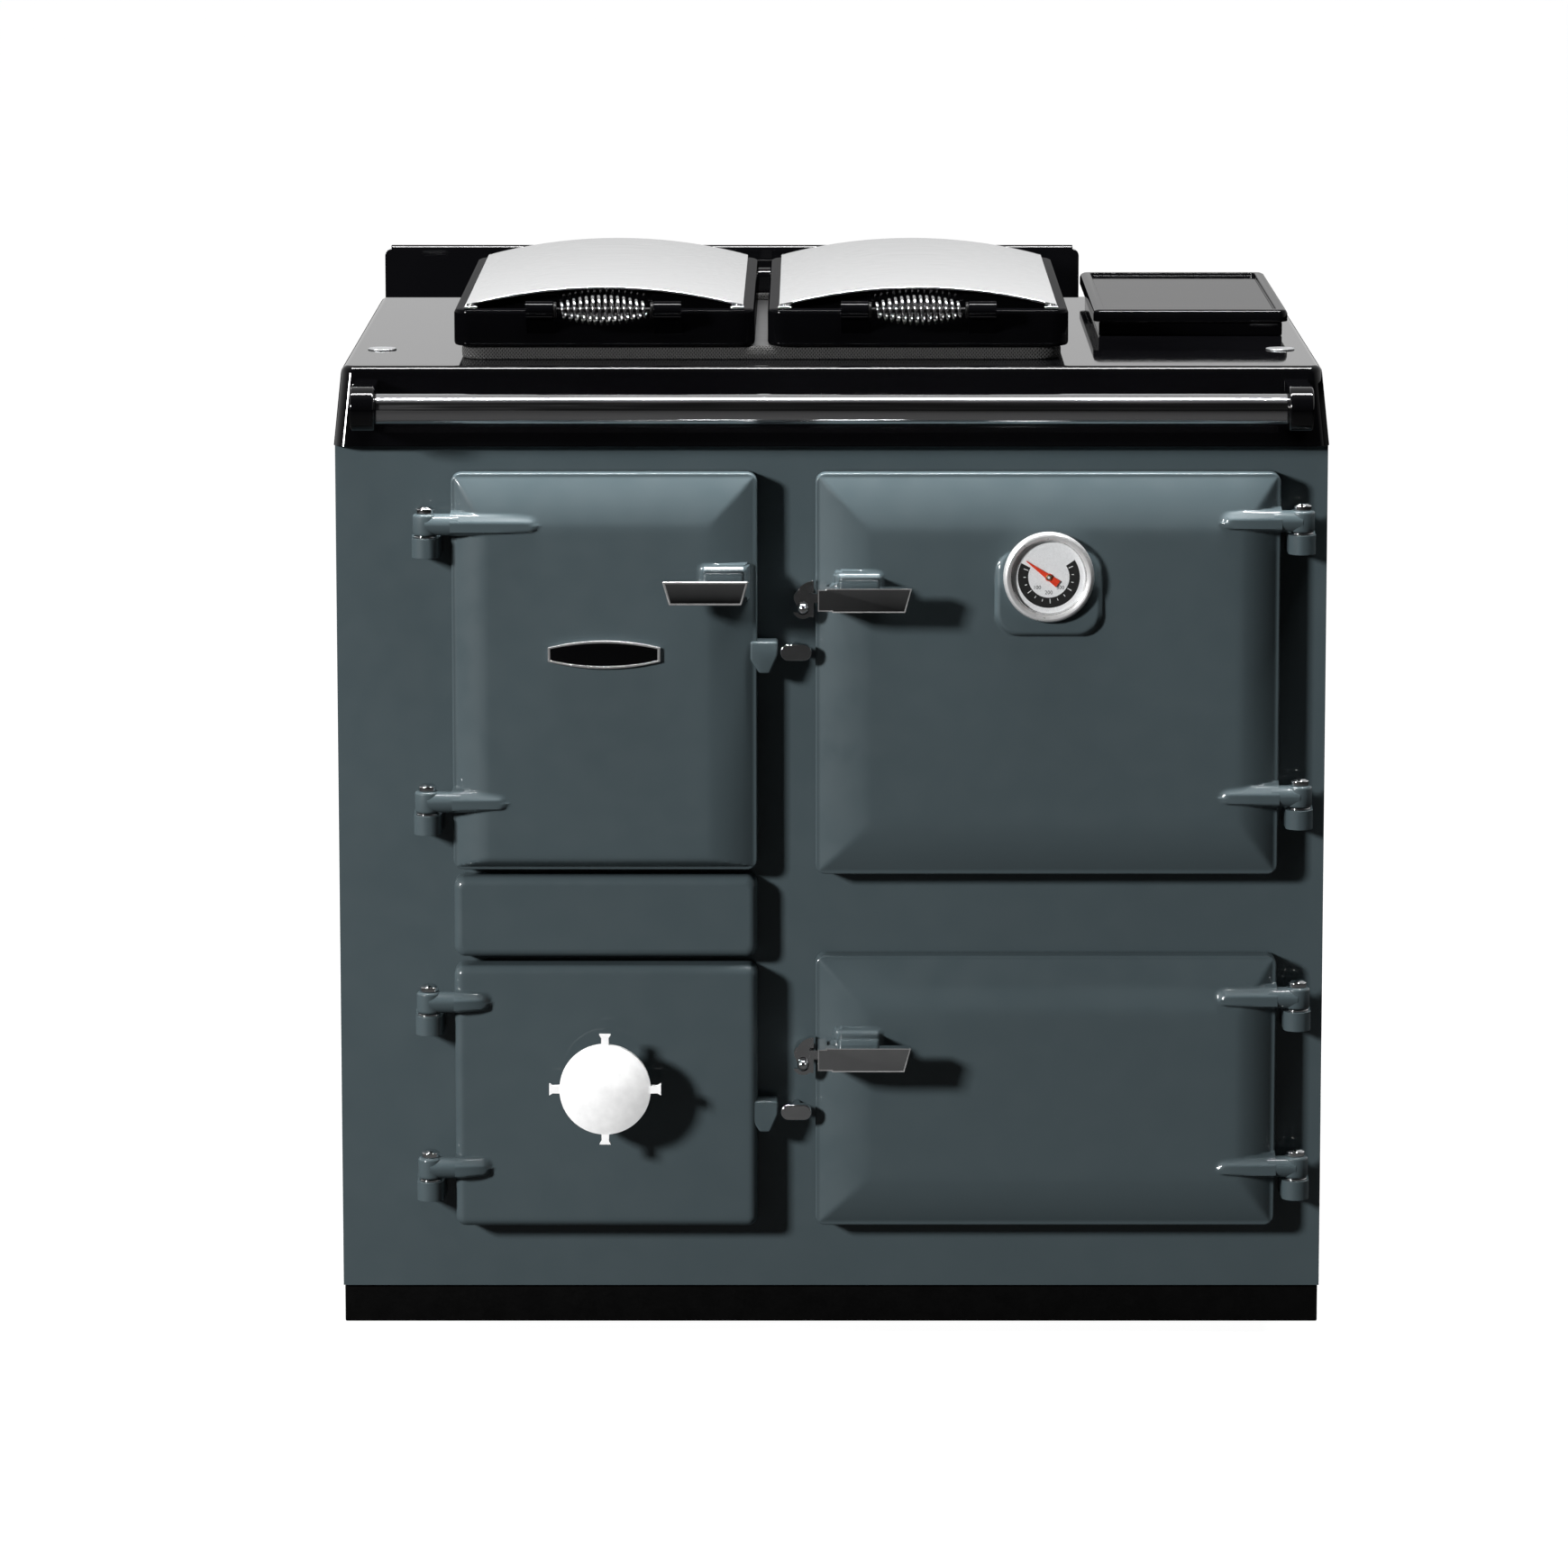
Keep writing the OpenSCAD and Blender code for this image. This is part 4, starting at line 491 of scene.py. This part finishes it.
def collarFeature(d, x0, z, r=4):
    b = bossForm
    cx = x0 - d["left"] + b["width"] / 2
    cz = z - d["foot"] + (b["above"] - b["below"]) / 2

    def add(height, x, z):
        out = roundedRect(x, z, cx, cz, b["width"] / 2, (b["above"] + b["below"]) / 2, b["corner"])
        if out > r:
            return height
        near = r - max(out, 0)
        return max(height, d["thick"] + r - sqrt(r * r - near * near))
    return add


def doorSheet(d, features, fineX, fineZ):
    f = castingForm
    rimMarks = [0, 0.35, 0.8, 1.4, 2.2, 3.4, 5, 6.5, 8.5, 10.5]
    xs = lines(d["width"], rimMarks, fineX)
    zs = lines(d["height"], rimMarks, fineZ)
    nx, nz = len(xs) - 1, len(zs) - 1
    bpy.ops.mesh.primitive_grid_add(x_subdivisions=nx, y_subdivisions=nz, size=2, location=(0, 0, 0))
    sheet = bpy.context.object
    w, h, r = d["width"], d["height"], f["corner"]
    for v in sheet.data.vertices:
        x = xs[round((v.co.x + 1) / 2 * nx)]
        z = zs[round((v.co.y + 1) / 2 * nz)]
        qx, qz = abs(x - w / 2) - w / 2 + r, abs(z - h / 2) - h / 2 + r
        px, pz = x, z
        if qx > 0 and qz > 0:
            k = max(qx, qz) / hypot(qx, qz)
            px = x + (k - 1) * qx * (1 if x > w / 2 else -1)
            pz = z + (k - 1) * qz * (1 if z > h / 2 else -1)
        out = doorHeight(d, features, px, pz)
        v.co = spot(d["left"] + px, f["gap"] + out, d["foot"] + pz)
    return sheet


def closeBack(sheet, d):
    f = castingForm
    back = frontY - f["gap"] / 1000
    edit(sheet)
    bpy.ops.mesh.select_mode(type="EDGE")
    bpy.ops.mesh.select_all(action="DESELECT")
    bpy.ops.mesh.select_non_manifold()
    bpy.ops.mesh.extrude_edges_move(TRANSFORM_OT_translate={"value": (0, 0, 0)})
    leave()
    for v in sheet.data.vertices:
        if v.select:
            v.co.y = back
    bpy.ops.object.mode_set(mode="EDIT")
    bpy.ops.mesh.edge_face_add()
    bpy.ops.mesh.select_mode(type="FACE")
    leave()
    pickFaces(sheet, lambda p: len(p.vertices) > 8)
    bpy.ops.mesh.inset(thickness=f["rim"] / 1000, depth=0)
    bpy.ops.mesh.extrude_region_move(TRANSFORM_OT_translate={"value": (0, -f["recess"] / 1000, 0)})
    leave()
    faceOutward(sheet)


def tube(x, out, z, radius, length, axis="Z", sides=64):
    turn = {"X": (0, pi / 2, 0), "Y": (pi / 2, 0, 0), "Z": (0, 0, 0)}[axis]
    bpy.ops.mesh.primitive_cylinder_add(vertices=sides, radius=radius / 1000, depth=length / 1000,
                                        location=spot(x, out, z), rotation=turn)
    made = bpy.context.object
    bpy.ops.object.transform_apply(location=True, rotation=True, scale=True)
    return made


def block(x0, x1, out0, out1, z0, z1):
    bpy.ops.mesh.primitive_cube_add(size=1, location=spot((x0 + x1) / 2, (out0 + out1) / 2, (z0 + z1) / 2))
    made = bpy.context.object
    made.scale = ((x1 - x0) / 1000, (out1 - out0) / 1000, (z1 - z0) / 1000)
    bpy.ops.object.transform_apply(location=True, rotation=True, scale=True)
    return made


def eyeOf(d, z):
    f = castingForm
    eye = tube(d["hinge"], f["hingeOut"], z, f["eyeRadius"], f["eyeHeight"])
    return bevelEdges(eye, 0.0026, 4, 40)


def armStub(d, z, length, into=7, belowEye=9):
    f = castingForm
    side = d["side"]
    reach = abs(d["hinge"] - (d["left"] + (d["width"] if side > 0 else 0))) + into
    bpy.ops.mesh.primitive_cylinder_add(vertices=48, radius=1, depth=1, rotation=(0, pi / 2, 0))
    stub = bpy.context.object
    bpy.ops.object.transform_apply(location=True, rotation=True, scale=True)
    for v in stub.data.vertices:
        far = 1 if v.co.x > 0 else 0
        u = far * reach / length
        top = f["gap"] + armCrest(u, d["thick"])
        low = f["hingeOut"] - belowEye
        out = (top + low) / 2 - v.co.y * (top - low) / 2
        v.co = spot(d["hinge"] - side * reach * far, out, z + v.co.z * armHalf(u))
    faceOutward(stub)
    return stub


def ringSector(centre, rIn, rOut, start, stop, out, depth, sides, trim=0):
    bpy.ops.mesh.primitive_grid_add(x_subdivisions=sides, y_subdivisions=1, size=2, location=(0, 0, 0))
    sector = bpy.context.object
    for v in sector.data.vertices:
        u, r = (v.co.x + 1) / 2, rOut if v.co.y > 0 else rIn
        cut = asin(trim / r)
        a = radians(start) + cut + (radians(stop - start) - 2 * cut) * u
        v.co = spot(centre[0] + r * cos(a), out, centre[1] + r * sin(a))
    edit(sector)
    bpy.ops.mesh.extrude_region_move(TRANSFORM_OT_translate={"value": (0, -depth / 1000, 0)})
    leave()
    faceOutward(sector)
    return sector


def cutAway(piece, cutter):
    m = piece.modifiers.new("hole", "BOOLEAN")
    m.operation = "DIFFERENCE"
    m.solver = "MANIFOLD"
    m.object = cutter
    applyAll(piece)
    bpy.data.objects.remove(cutter)


# fineX and fineZ are the places across and up the door where its mesh is closer, each with its reach
def buildDoor(key, extraFeatures, extraPieces, fineX=(), fineZ=(), hole=None, smooth=42, armZone=17):
    d = doorShapes[key]
    arms = [armFeature(d, z - d["foot"], length) for z, length in d["eyes"]]
    nearArms = [(z - d["foot"], armZone) for z, length in d["eyes"]]
    sheet = doorSheet(d, arms + extraFeatures, list(fineX), nearArms + list(fineZ))
    closeBack(sheet, d)
    if hole:
        cutAway(sheet, hole)
    parts = [sheet]
    for z, length in d["eyes"]:
        parts += [eyeOf(d, z), armStub(d, z, length)]
    door = joined(parts + extraPieces)
    if hole:
        evenNormals(door, smooth)
    else:
        smoothBy(door, smooth)
    settle(door, key + "DoorCasting", slateEnamel, bodyOf[d["node"]], [d["node"]])


def pullBoss(x0, z, roundEnd):
    b = bossForm
    body = block(x0, x0 + b["width"], b["from"], b["to"], z - b["below"], z + b["above"])
    pieces = [bevelEdges(body, 0.003, 4)]
    if roundEnd:
        end = tube(x0, (b["from"] + b["to"]) / 2, z, b["below"], b["to"] - b["from"], "Y")
        pieces.append(bevelEdges(end, 0.0015, 3))
    return pieces


def earOf(d, z):
    edge = d["left"] + d["width"]
    outline = [(-6, 8), (18, 8), (18, -4), (11, -20), (2, -20), (-6, -8)]
    bpy.ops.mesh.primitive_circle_add(vertices=6, radius=1, fill_type="NGON", location=(0, 0, 0))
    ear = bpy.context.object
    for v, (x, up) in zip(ear.data.vertices, outline):
        v.co = spot(edge + x, castingForm["gap"], z + up)
    edit(ear)
    bpy.ops.mesh.extrude_region_move(TRANSFORM_OT_translate={"value": (0, -castingForm["ear"] / 1000, 0)})
    leave()
    faceOutward(ear)
    return bevelEdges(ear, 0.002, 4)


fire, ash, main, lower = (doorShapes[k] for k in ("firebox", "ashpit", "main", "lower"))
pullAt = {"fire": (-112, 667), "main": (6, 661), "lower": (6, 255)}  # each boss's left edge and middle
thermometerAt = (189, 676.5)
airHole = {"centre": (-198.5, 226), "inner": 10, "outer": 31, "arm": 8, "armAngles": (90, 210, 330),
           "from": 8, "depth": 30, "sides": 24, "hubOut": 34.5, "hubLength": 11}
dialPad = {"x": 203, "z": 252.5, "halfX": 45.5, "halfZ": 37.5, "corner": 20, "zone": 6, "low": 3.4,
           "high": 6, "lean": 0.14, "round": 3.2, "bend": 0.22, "drop": 2.25, "side": 3, "blend": 1.6}
seatShape = {"out": 39.5, "radius": 34, "length": 6}

buildDoor("firebox", [collarFeature(fire, *pullAt["fire"])],
          pullBoss(*pullAt["fire"], False) + [earOf(fire, 609)], [(225, 8), (258, 8)], [(243, 7), (269, 7)])
hubX, hubZ = airHole["centre"]
airHub = tube(hubX, airHole["hubOut"], hubZ, airHole["inner"], airHole["hubLength"], "Y")
bevelEdges(airHub, 0.001, 2)
sectors = [ringSector(airHole["centre"], airHole["inner"], airHole["outer"], a, a + 120, airHole["from"],
                      airHole["depth"], airHole["sides"], airHole["arm"] / 2) for a in airHole["armAngles"]]
buildDoor("ashpit", [], [airHub, earOf(ash, 199)], hole=joined(sectors))
dialX, dialZ = thermometerAt
caseSeat = tube(dialX, seatShape["out"], dialZ, seatShape["radius"], seatShape["length"], "Y", 96)
buildDoor("main", [collarFeature(main, *pullAt["main"]), padFeature(dialPad, main["thick"])],
          pullBoss(*pullAt["main"], True) + [caseSeat],
          [(20, 8), (56, 8), (157, 9), (249, 9)], [(241, 7), (267, 7), (215, 10), (290, 8)])
buildDoor("lower", [collarFeature(lower, *pullAt["lower"])], pullBoss(*pullAt["lower"], True),
          [(20, 8), (56, 8)], [(151, 7), (177, 7)])
print("stage: doors made")

# castings and sheet metal finished from the frame

castFinish = {  # width of the worn edge, its segments, and the angle that still shades smooth
    "plinth": (0.0012, 2, 40), "front_plate": (0.0008, 2, 40), "left_side_panel": (0.0008, 2, 40),
    "right_side_panel": (0.0008, 2, 40), "back_panel": (0.0005, 1, 40), "top_plate": (0, 0, 50),
    "splashback": (0.0012, 3, 50), "flue_box": (0.002, 3, 50), "flue_cover": (0.0008, 3, 50),
    "rail_brackets": (0.0022, 4, 50), "filler_panel": (0, 0, 50), "door_hinge_lugs": (0.0022, 4, 50),
    "lid_hinge_brackets": (0.0015, 3, 50), "left_lid_casting": (0.001, 3, 50),
    "right_lid_casting": (0.001, 3, 50), "hotplate": (0.001, 2, 50), "top_plugs": (0.0004, 2, 50),
    "door_hinge_pins": (0.0005, 2, 50), "latch_keepers": (0.0009, 3, 50),
    "firebox_catch": (0.0026, 5, 50), "ashpit_catch": (0.0026, 5, 50), "lid_hinge_rod": (0.0006, 2, 50),
    "left_lid_cover": (0.0007, 3, 50), "right_lid_cover": (0.0007, 3, 50),
    "firebox_door_liner": (0.0012, 2, 50), "main_door_liner": (0.0012, 2, 50),
    "lower_door_liner": (0.0012, 2, 50), "spin_wheel": (0.0008, 3, 50),
    "thermometer_case": (0.0003, 2, 60), "flue_spigot": (0.0008, 2, 50), "ash_pan": (0.0004, 1, 40),
    "grate": (0.0012, 2, 40), "firebricks": (0.0015, 2, 40), "main_oven_box": (0.0008, 2, 40),
    "lower_oven_box": (0.0008, 2, 40), "oven_shelves": (0, 0, 60), "air_damper": (0.0004, 2, 50),
    "base_plate": (0.0008, 1, 40), "firebox_shell": (0.001, 1, 40), "insulation_boards": (0.001, 1, 40),
    "ashpit_shell": (0.001, 1, 40), "flue_well": (0.001, 2, 40),
}
ownPaint = {"spin_wheel": wheelPaintedGlare, "thermometer_case": bezelPaintedShine, "flue_cover": flueEnamel,
            "left_lid_casting": lidEnamel, "right_lid_casting": lidEnamel,
            "left_lid_cover": coverSteelPaintedSheen, "right_lid_cover": coverSteelPaintedSheen}
for n, (worn, segments, smooth) in castFinish.items():
    casting = castCopy(n, ownPaint.get(n, paintOf[slotOf[n]]), worn, segments, smooth)
    if n == "splashback":
        casting.visible_glossy = False  # the photograph's top doesn't mirror it
print("stage: castings finished")


# pulls: a shallow panel is sunk in each bright face, and the rim round it is duller

panelForm = {"rim": 0.001, "sink": 0.0007, "share": 0.25, "deep": 0.003}


def sinkFace(piece):
    front = max((f.area for f in piece.data.polygons if f.normal.y < -0.8), default=0)
    pickFaces(piece, lambda f: f.normal.y < -0.8 and f.area > front * panelForm["share"])
    bpy.ops.mesh.inset(thickness=panelForm["rim"], depth=-panelForm["sink"])
    leave()
    low = min(f.center.y for f in piece.data.polygons)
    piece.data.materials.append(rimAlloy)
    for f in piece.data.polygons:
        if not f.select and f.center.y < low + panelForm["deep"] and f.normal.y < -0.3:
            f.material_index = 1
    evenNormals(piece, 50)


for pull in ("firebox_door_pull", "main_door_handle", "lower_door_handle"):
    sinkFace(castCopy(pull, chrome, 0.001, 3))


# towel rail

railShape = {"z": 826, "out": 62, "radius": 13, "half": 408.9}
rail = tube(0, railShape["out"], railShape["z"], railShape["radius"], 2 * railShape["half"], "X", 96)
smoothBy(bevelEdges(rail, 0.0008, 2))
settle(rail, "towelRailBar", polishedSteel, "range", ["towel_rail"])


# rope seals

# mm of rope to a plait, plaits round the rope, and how square its section is pressed
plait = {"length": 7, "round": 6, "square": 4}


def onRim(s, halfX, halfUp, radius):  # the walk starts half way up the right side and goes round by the top
    straightX, straightUp = halfX - radius, halfUp - radius
    quarter = pi / 2 * radius
    for k, (nx, nUp) in enumerate([(1, 0), (0, 1), (-1, 0), (0, -1), (1, 0)]):
        straight, half = (straightUp, halfX) if nx else (straightX, halfUp)
        length = straight if k in (0, 4) else 2 * straight
        if s <= length or k == 4:
            t = s if k == 0 else s - straight
            return nx * half - nUp * t, nUp * half + nx * t, nx, nUp
        s -= length
        if s <= quarter:
            nx, nUp = cos(pi / 2 * k + s / radius), sin(pi / 2 * k + s / radius)
            cornerX = straightX if k in (0, 3) else -straightX
            cornerUp = straightUp if k in (0, 1) else -straightUp
            return cornerX + radius * nx, cornerUp + radius * nUp, nx, nUp
        s -= quarter


def ropeSeal(name, centre, halfX, halfUp, radius, thickIn, thickOut, flat, body, stands, around=220):
    bpy.ops.mesh.primitive_torus_add(major_segments=around, minor_segments=20, major_radius=1,
                                     minor_radius=0.25, generate_uvs=True, location=(0, 0, 0))
    seal = bpy.context.object
    total = 4 * (halfX + halfUp - 2 * radius) + 2 * pi * radius
    for loop in seal.data.uv_layers.active.data:
        loop.uv = (loop.uv[0] * round(total / plait["length"]), loop.uv[1] * plait["round"])
    for v in seal.data.vertices:
        turn = (atan2(v.co.y, v.co.x) / (2 * pi)) % 1.0
        side = atan2(v.co.z, hypot(v.co.x, v.co.y) - 1)
        x, up, nx, nUp = onRim(turn * total, halfX, halfUp, radius)
        c, q, power = cos(side), sin(side), plait["square"]
        squash = (abs(c) ** power + abs(q) ** power) ** (-1 / power)
        off, rise = c * squash * thickIn, q * squash * thickOut
        x, up = centre[0] + x + nx * off, up + nUp * off
        if flat:
            v.co = spot(x, centre[1] - up, centre[2] + rise)
        else:
            v.co = spot(x, centre[1] + rise, centre[2] + up)
    faceOutward(seal)
    bpy.ops.object.shade_smooth()
    settle(seal, name, rope, body, stands)


ropeSeal("hobSeal", (-61.75, -288, 862), 258.25, 229, 14, 6, 5.9, True, "range", ["hotplate_rope"], 400)
doorSeal = {"in": 20.5, "corner": 6.5, "out": 7, "thickIn": 5.9, "thickOut": 6.6}
for key, d in doorShapes.items():
    halfX, halfUp = d["width"] / 2, d["height"] / 2
    ropeSeal(key + "Seal", (d["left"] + halfX, doorSeal["out"], d["foot"] + halfUp), halfX - doorSeal["in"],
             halfUp - doorSeal["in"], doorSeal["corner"], doorSeal["thickIn"], doorSeal["thickOut"], False,
             bodyOf[d["node"]], [key + "_door_rope"])
print("stage: pulls, rail and seals made")


# coil handles of the lids

coilShape = {"behind": 30, "z": 902, "length": 88, "wire": 2.8, "turns": 14, "turnSteps": 22, "swell": 0.8,
             "endWidth": 13.4, "midWidth": 27, "core": 5, "coreLength": 107,
             "ferrule": 7.2, "ferruleLength": 3}
lidMiddles = {"left": -199.75, "right": 76.25}


def coilHandle(side):
    c = coilShape
    x0, body, name = lidMiddles[side], side + "_lid", side + "CoilHandle"
    run = c["length"] - 2 * c["ferruleLength"]
    steps = c["turns"] * c["turnSteps"]
    points = []
    for i in range(steps + 1):
        u = i / steps
        r = (c["endWidth"] - c["wire"]) / 2 + (c["midWidth"] - c["endWidth"]) / 2 * sin(pi * u) ** c["swell"]
        a = 2 * pi * c["turns"] * u
        points.append((c["wire"] - run / 2 + u * (run - 2 * c["wire"]), r * cos(a), r * sin(a)))
    points.insert(0, (-run / 2, points[0][1], 0))
    points.append((run / 2, points[-1][1], points[-1][2]))
    curve = bpy.data.curves.new(name, "CURVE")
    curve.dimensions = "3D"
    curve.bevel_depth = c["wire"] / 2000
    curve.bevel_resolution = 3
    curve.use_fill_caps = True
    line = curve.splines.new("POLY")
    line.points.add(len(points) - 1)
    for p, (x, y, z) in zip(line.points, points):
        p.co = (*spot(x0 + x, -c["behind"] - y, c["z"] + z), 1)
    coil = bpy.data.objects.new(name, curve)
    bpy.context.scene.collection.objects.link(coil)
    solo(coil)
    bpy.ops.object.convert(target="MESH")
    coil = bpy.context.object
    smoothBy(coil)
    settle(coil, name, coilSteel, body, [side + "_lid_handle"])
    parts = [tube(x0, -c["behind"], c["z"], c["core"] / 2, c["coreLength"], "X", 32)]
    for s in (-1, 1):
        end = x0 + s * (c["length"] - c["ferruleLength"]) / 2
        cap = tube(end, -c["behind"], c["z"], c["ferrule"], c["ferruleLength"], "X", 48)
        parts.append(bevelEdges(cap, 0.0008, 3))
    ends = joined(parts)
    smoothBy(ends)
    settle(ends, name + "Core", blackPaint, body)


# small bright tabs that clip each cover to its casting, each with a post on it

tabShape = {"apart": 117, "half": 6, "front": -60, "back": -49.5, "foot": 900.6, "top": 903.4,
            "postOut": -54.5, "postZ": 903.6, "postRadius": 2.6, "postHeight": 2.4}


def coverTabs(side):
    t = tabShape
    parts = []
    for s in (-1, 1):
        x = lidMiddles[side] + s * t["apart"]
        tab = block(x - t["half"], x + t["half"], t["front"], t["back"], t["foot"], t["top"])
        post = tube(x, t["postOut"], t["postZ"], t["postRadius"], t["postHeight"], "Z", 32)
        parts += [bevelEdges(tab, 0.001, 3), bevelEdges(post, 0.0007, 3)]
    tabs = joined(parts)
    smoothBy(tabs)
    settle(tabs, side + "CoverTabs", chrome, side + "_lid")


for side in ("left", "right"):
    coilHandle(side)
for side in ("left", "right"):
    coverTabs(side)
print("stage: lid handles made")


# badge: a bare black plate inside a bright rim

plateLimits = {"behindRim": 0.0007, "area": 0.0003}
badge = castCopy("door_badge", rimAlloy, 0.0003, 2)
badge.data.materials.append(blackEnamel)
badgeFront = min(v.co.y for v in badge.data.vertices)
for f in badge.data.polygons:
    behind = f.center.y > badgeFront + plateLimits["behindRim"]
    if behind and f.normal.y < -0.9 and f.area > plateLimits["area"]:
        f.material_index = 1


# thermometer

dialShape = {"face": 44.2, "bandIn": 18, "bandOut": 27, "from": 152.6, "to": 394, "bandUnder": 0.01,
             "ticks": 13, "margin": 9, "halfTick": 0.9, "tickOver": 0.04, "thick": 0.08,
             "numbers": [("100", 222), ("200", 270), ("300", 318)], "numberRing": 13.6, "numberHeight": 4.6,
             "numberOver": 0.03, "hubOut": 46.3, "hubRadius": 2.6, "hubHeight": 1.1}
castCopy("thermometer_dial", dialWhite, 0.0002, 2)
castCopy("thermometer_needle", needleRed, 0.0002, 2)
castCopy("thermometer_glass", clearGlass, 0.0003, 2)


def scaleTick(i):
    s = dialShape
    a = s["from"] + s["margin"] + (s["to"] - s["from"] - 2 * s["margin"]) * i / (s["ticks"] - 1)
    low, high = (1, 5) if i % 3 == 0 else (2, 4)
    return ringSector(thermometerAt, s["bandIn"] + low, s["bandIn"] + high, a - s["halfTick"],
                      a + s["halfTick"], s["face"] + s["tickOver"], s["thick"], 1)


def scaleBand():
    s = dialShape
    return ringSector(thermometerAt, s["bandIn"], s["bandOut"], s["from"], s["to"],
                      s["face"] - s["bandUnder"], s["thick"], 120)


settle(scaleBand(), "dialScaleBand", dialBlack, "main_oven_door")
ticks = [scaleTick(i) for i in range(dialShape["ticks"])]
settle(joined(ticks), "dialTicks", dialWhite, "main_oven_door")


def dialNumber(text, angle):
    a, ring = radians(angle), dialShape["numberRing"]
    bpy.ops.object.text_add(location=(0, 0, 0))
    figure = bpy.context.object
    figure.data.body = text
    figure.data.size = dialShape["numberHeight"] / 1000
    figure.data.align_x = "CENTER"
    figure.data.align_y = "CENTER"
    figure.data.extrude = 0.00004
    bpy.ops.object.convert(target="MESH")
    figure = bpy.context.object
    figure.location = spot(dialX + ring * cos(a), dialShape["face"] + dialShape["numberOver"],
                           dialZ + ring * sin(a))
    figure.rotation_euler = (pi / 2, 0, 0)
    settle(figure, "dialNumber" + text, dialBlack, "main_oven_door")


for text, angle in dialShape["numbers"]:
    dialNumber(text, angle)
needleHub = tube(dialX, dialShape["hubOut"], dialZ, dialShape["hubRadius"], dialShape["hubHeight"], "Y", 40)
smoothBy(bevelEdges(needleHub, 0.0004, 3))
settle(needleHub, "needleHub", brassHub, "thermometer_needle")
print("stage: badge and thermometer made")


# floor, light and camera

floorShape = {"size": 60, "tone": 0.03, "seenTone": 0.15, "glow": 0.9, "near": 1.2, "far": 3.0}


def floorMaterial():
    f = floorShape
    made, tree, shader, place = startMaterial("paleFloor")
    tree.links.new(spreadOf(tree, addNoise(tree, place, 2, 3), 0.85, 0.95), shader.inputs["Roughness"])
    shader.inputs["Specular IOR Level"].default_value = 0.0
    seen = tree.nodes.new("ShaderNodeLightPath").outputs["Is Camera Ray"]
    tone = spreadOf(tree, seen, f["tone"], f["seenTone"], 0, 1)
    tree.links.new(tone, shader.inputs["Base Color"])
    reach = tree.nodes.new("ShaderNodeVectorMath")
    reach.operation = "LENGTH"
    tree.links.new(place, reach.inputs[0])
    glow = spreadOf(tree, reach.outputs["Value"], f["glow"], 1.0, f["near"], f["far"])
    tree.links.new(combined(tree, "MULTIPLY", glow, seen), shader.inputs["Emission Strength"])
    shader.inputs["Emission Color"].default_value = (1, 1, 1, 1)
    return made


bpy.ops.mesh.primitive_plane_add(size=floorShape["size"], location=(0, 0, 0))
floor = bpy.context.object
floor.name = "paleFloorPlane"
floor.data.materials.append(floorMaterial())

lampPlan = {
    "key": dict(at=(-5.1, -4.7, 2.8), aim=(0.0, -0.3, 0.5), size=(0.9, 0.9), power=790),
    "overhead": dict(at=(0.0, -0.36, 2.8), aim=(0.0, -0.33, 0.7), size=(2.6, 0.12), power=265),
}
for lampName, lamp in lampPlan.items():
    light = bpy.data.lights.new(lampName, "AREA")
    light.shape = "RECTANGLE"
    light.size, light.size_y = lamp["size"]
    light.energy = lamp["power"]
    lightObject = bpy.data.objects.new(lampName, light)
    bpy.context.scene.collection.objects.link(lightObject)
    lightObject.location = lamp["at"]
    way = Vector(lamp["aim"]) - Vector(lamp["at"])
    lightObject.rotation_euler = way.to_track_quat("-Z", "Y").to_euler()


# strengths of the sky: the white sweep stands behind the cooker, and the room in front of it is dim
skyShape = {"dim": 0.015, "dimAt": -0.6, "whiteAt": 0.35, "low": 0.12, "high": 0.6, "overhead": 0.5,
            "soft": 0.01}


def studioWorld():
    world = bpy.data.worlds.new("studio")
    bpy.context.scene.world = world
    world.use_nodes = True
    tree = world.node_tree
    sky = tree.nodes["Background"]
    path = tree.nodes.new("ShaderNodeLightPath")
    seen = combined(tree, "MAXIMUM", path.outputs["Is Camera Ray"], path.outputs["Is Transmission Ray"])
    place = tree.nodes.new("ShaderNodeTexCoord")
    apart = tree.nodes.new("ShaderNodeSeparateXYZ")
    tree.links.new(place.outputs["Generated"], apart.inputs["Vector"])
    behind = spreadOf(tree, apart.outputs["Y"], skyShape["dim"], 1.0, skyShape["dimAt"], skyShape["whiteAt"])
    above = spreadOf(tree, apart.outputs["Z"], 1.0, skyShape["overhead"], skyShape["low"], skyShape["high"])
    graded = combined(tree, "MULTIPLY", behind, above)
    shiny = mixed(tree, path.outputs["Is Glossy Ray"], skyShape["soft"], graded)
    tree.links.new(mixed(tree, seen, shiny, 1.0), sky.inputs["Strength"])
    sky.inputs["Color"].default_value = (1, 1, 1, 1)


studioWorld()
bpy.context.scene.view_settings.view_transform = "Standard"

cameraShape = {"at": (-0.0155, -6.5, 1.5487), "pitch": 0.1582, "lens": 164.56, "sensor": 36,
               "shiftX": -0.019, "shiftY": -0.05, "clip": 100}
camera = bpy.data.objects.new("photoCamera", bpy.data.cameras.new("photoCamera"))
bpy.context.scene.collection.objects.link(camera)
camera.location = cameraShape["at"]
camera.rotation_euler = (pi / 2 - cameraShape["pitch"], 0, 0)
camera.data.sensor_width = cameraShape["sensor"]
camera.data.lens = cameraShape["lens"]
camera.data.shift_x = cameraShape["shiftX"]
camera.data.shift_y = cameraShape["shiftY"]
camera.data.clip_end = cameraShape["clip"]
bpy.context.scene.camera = camera
print("stage: lights and camera made")
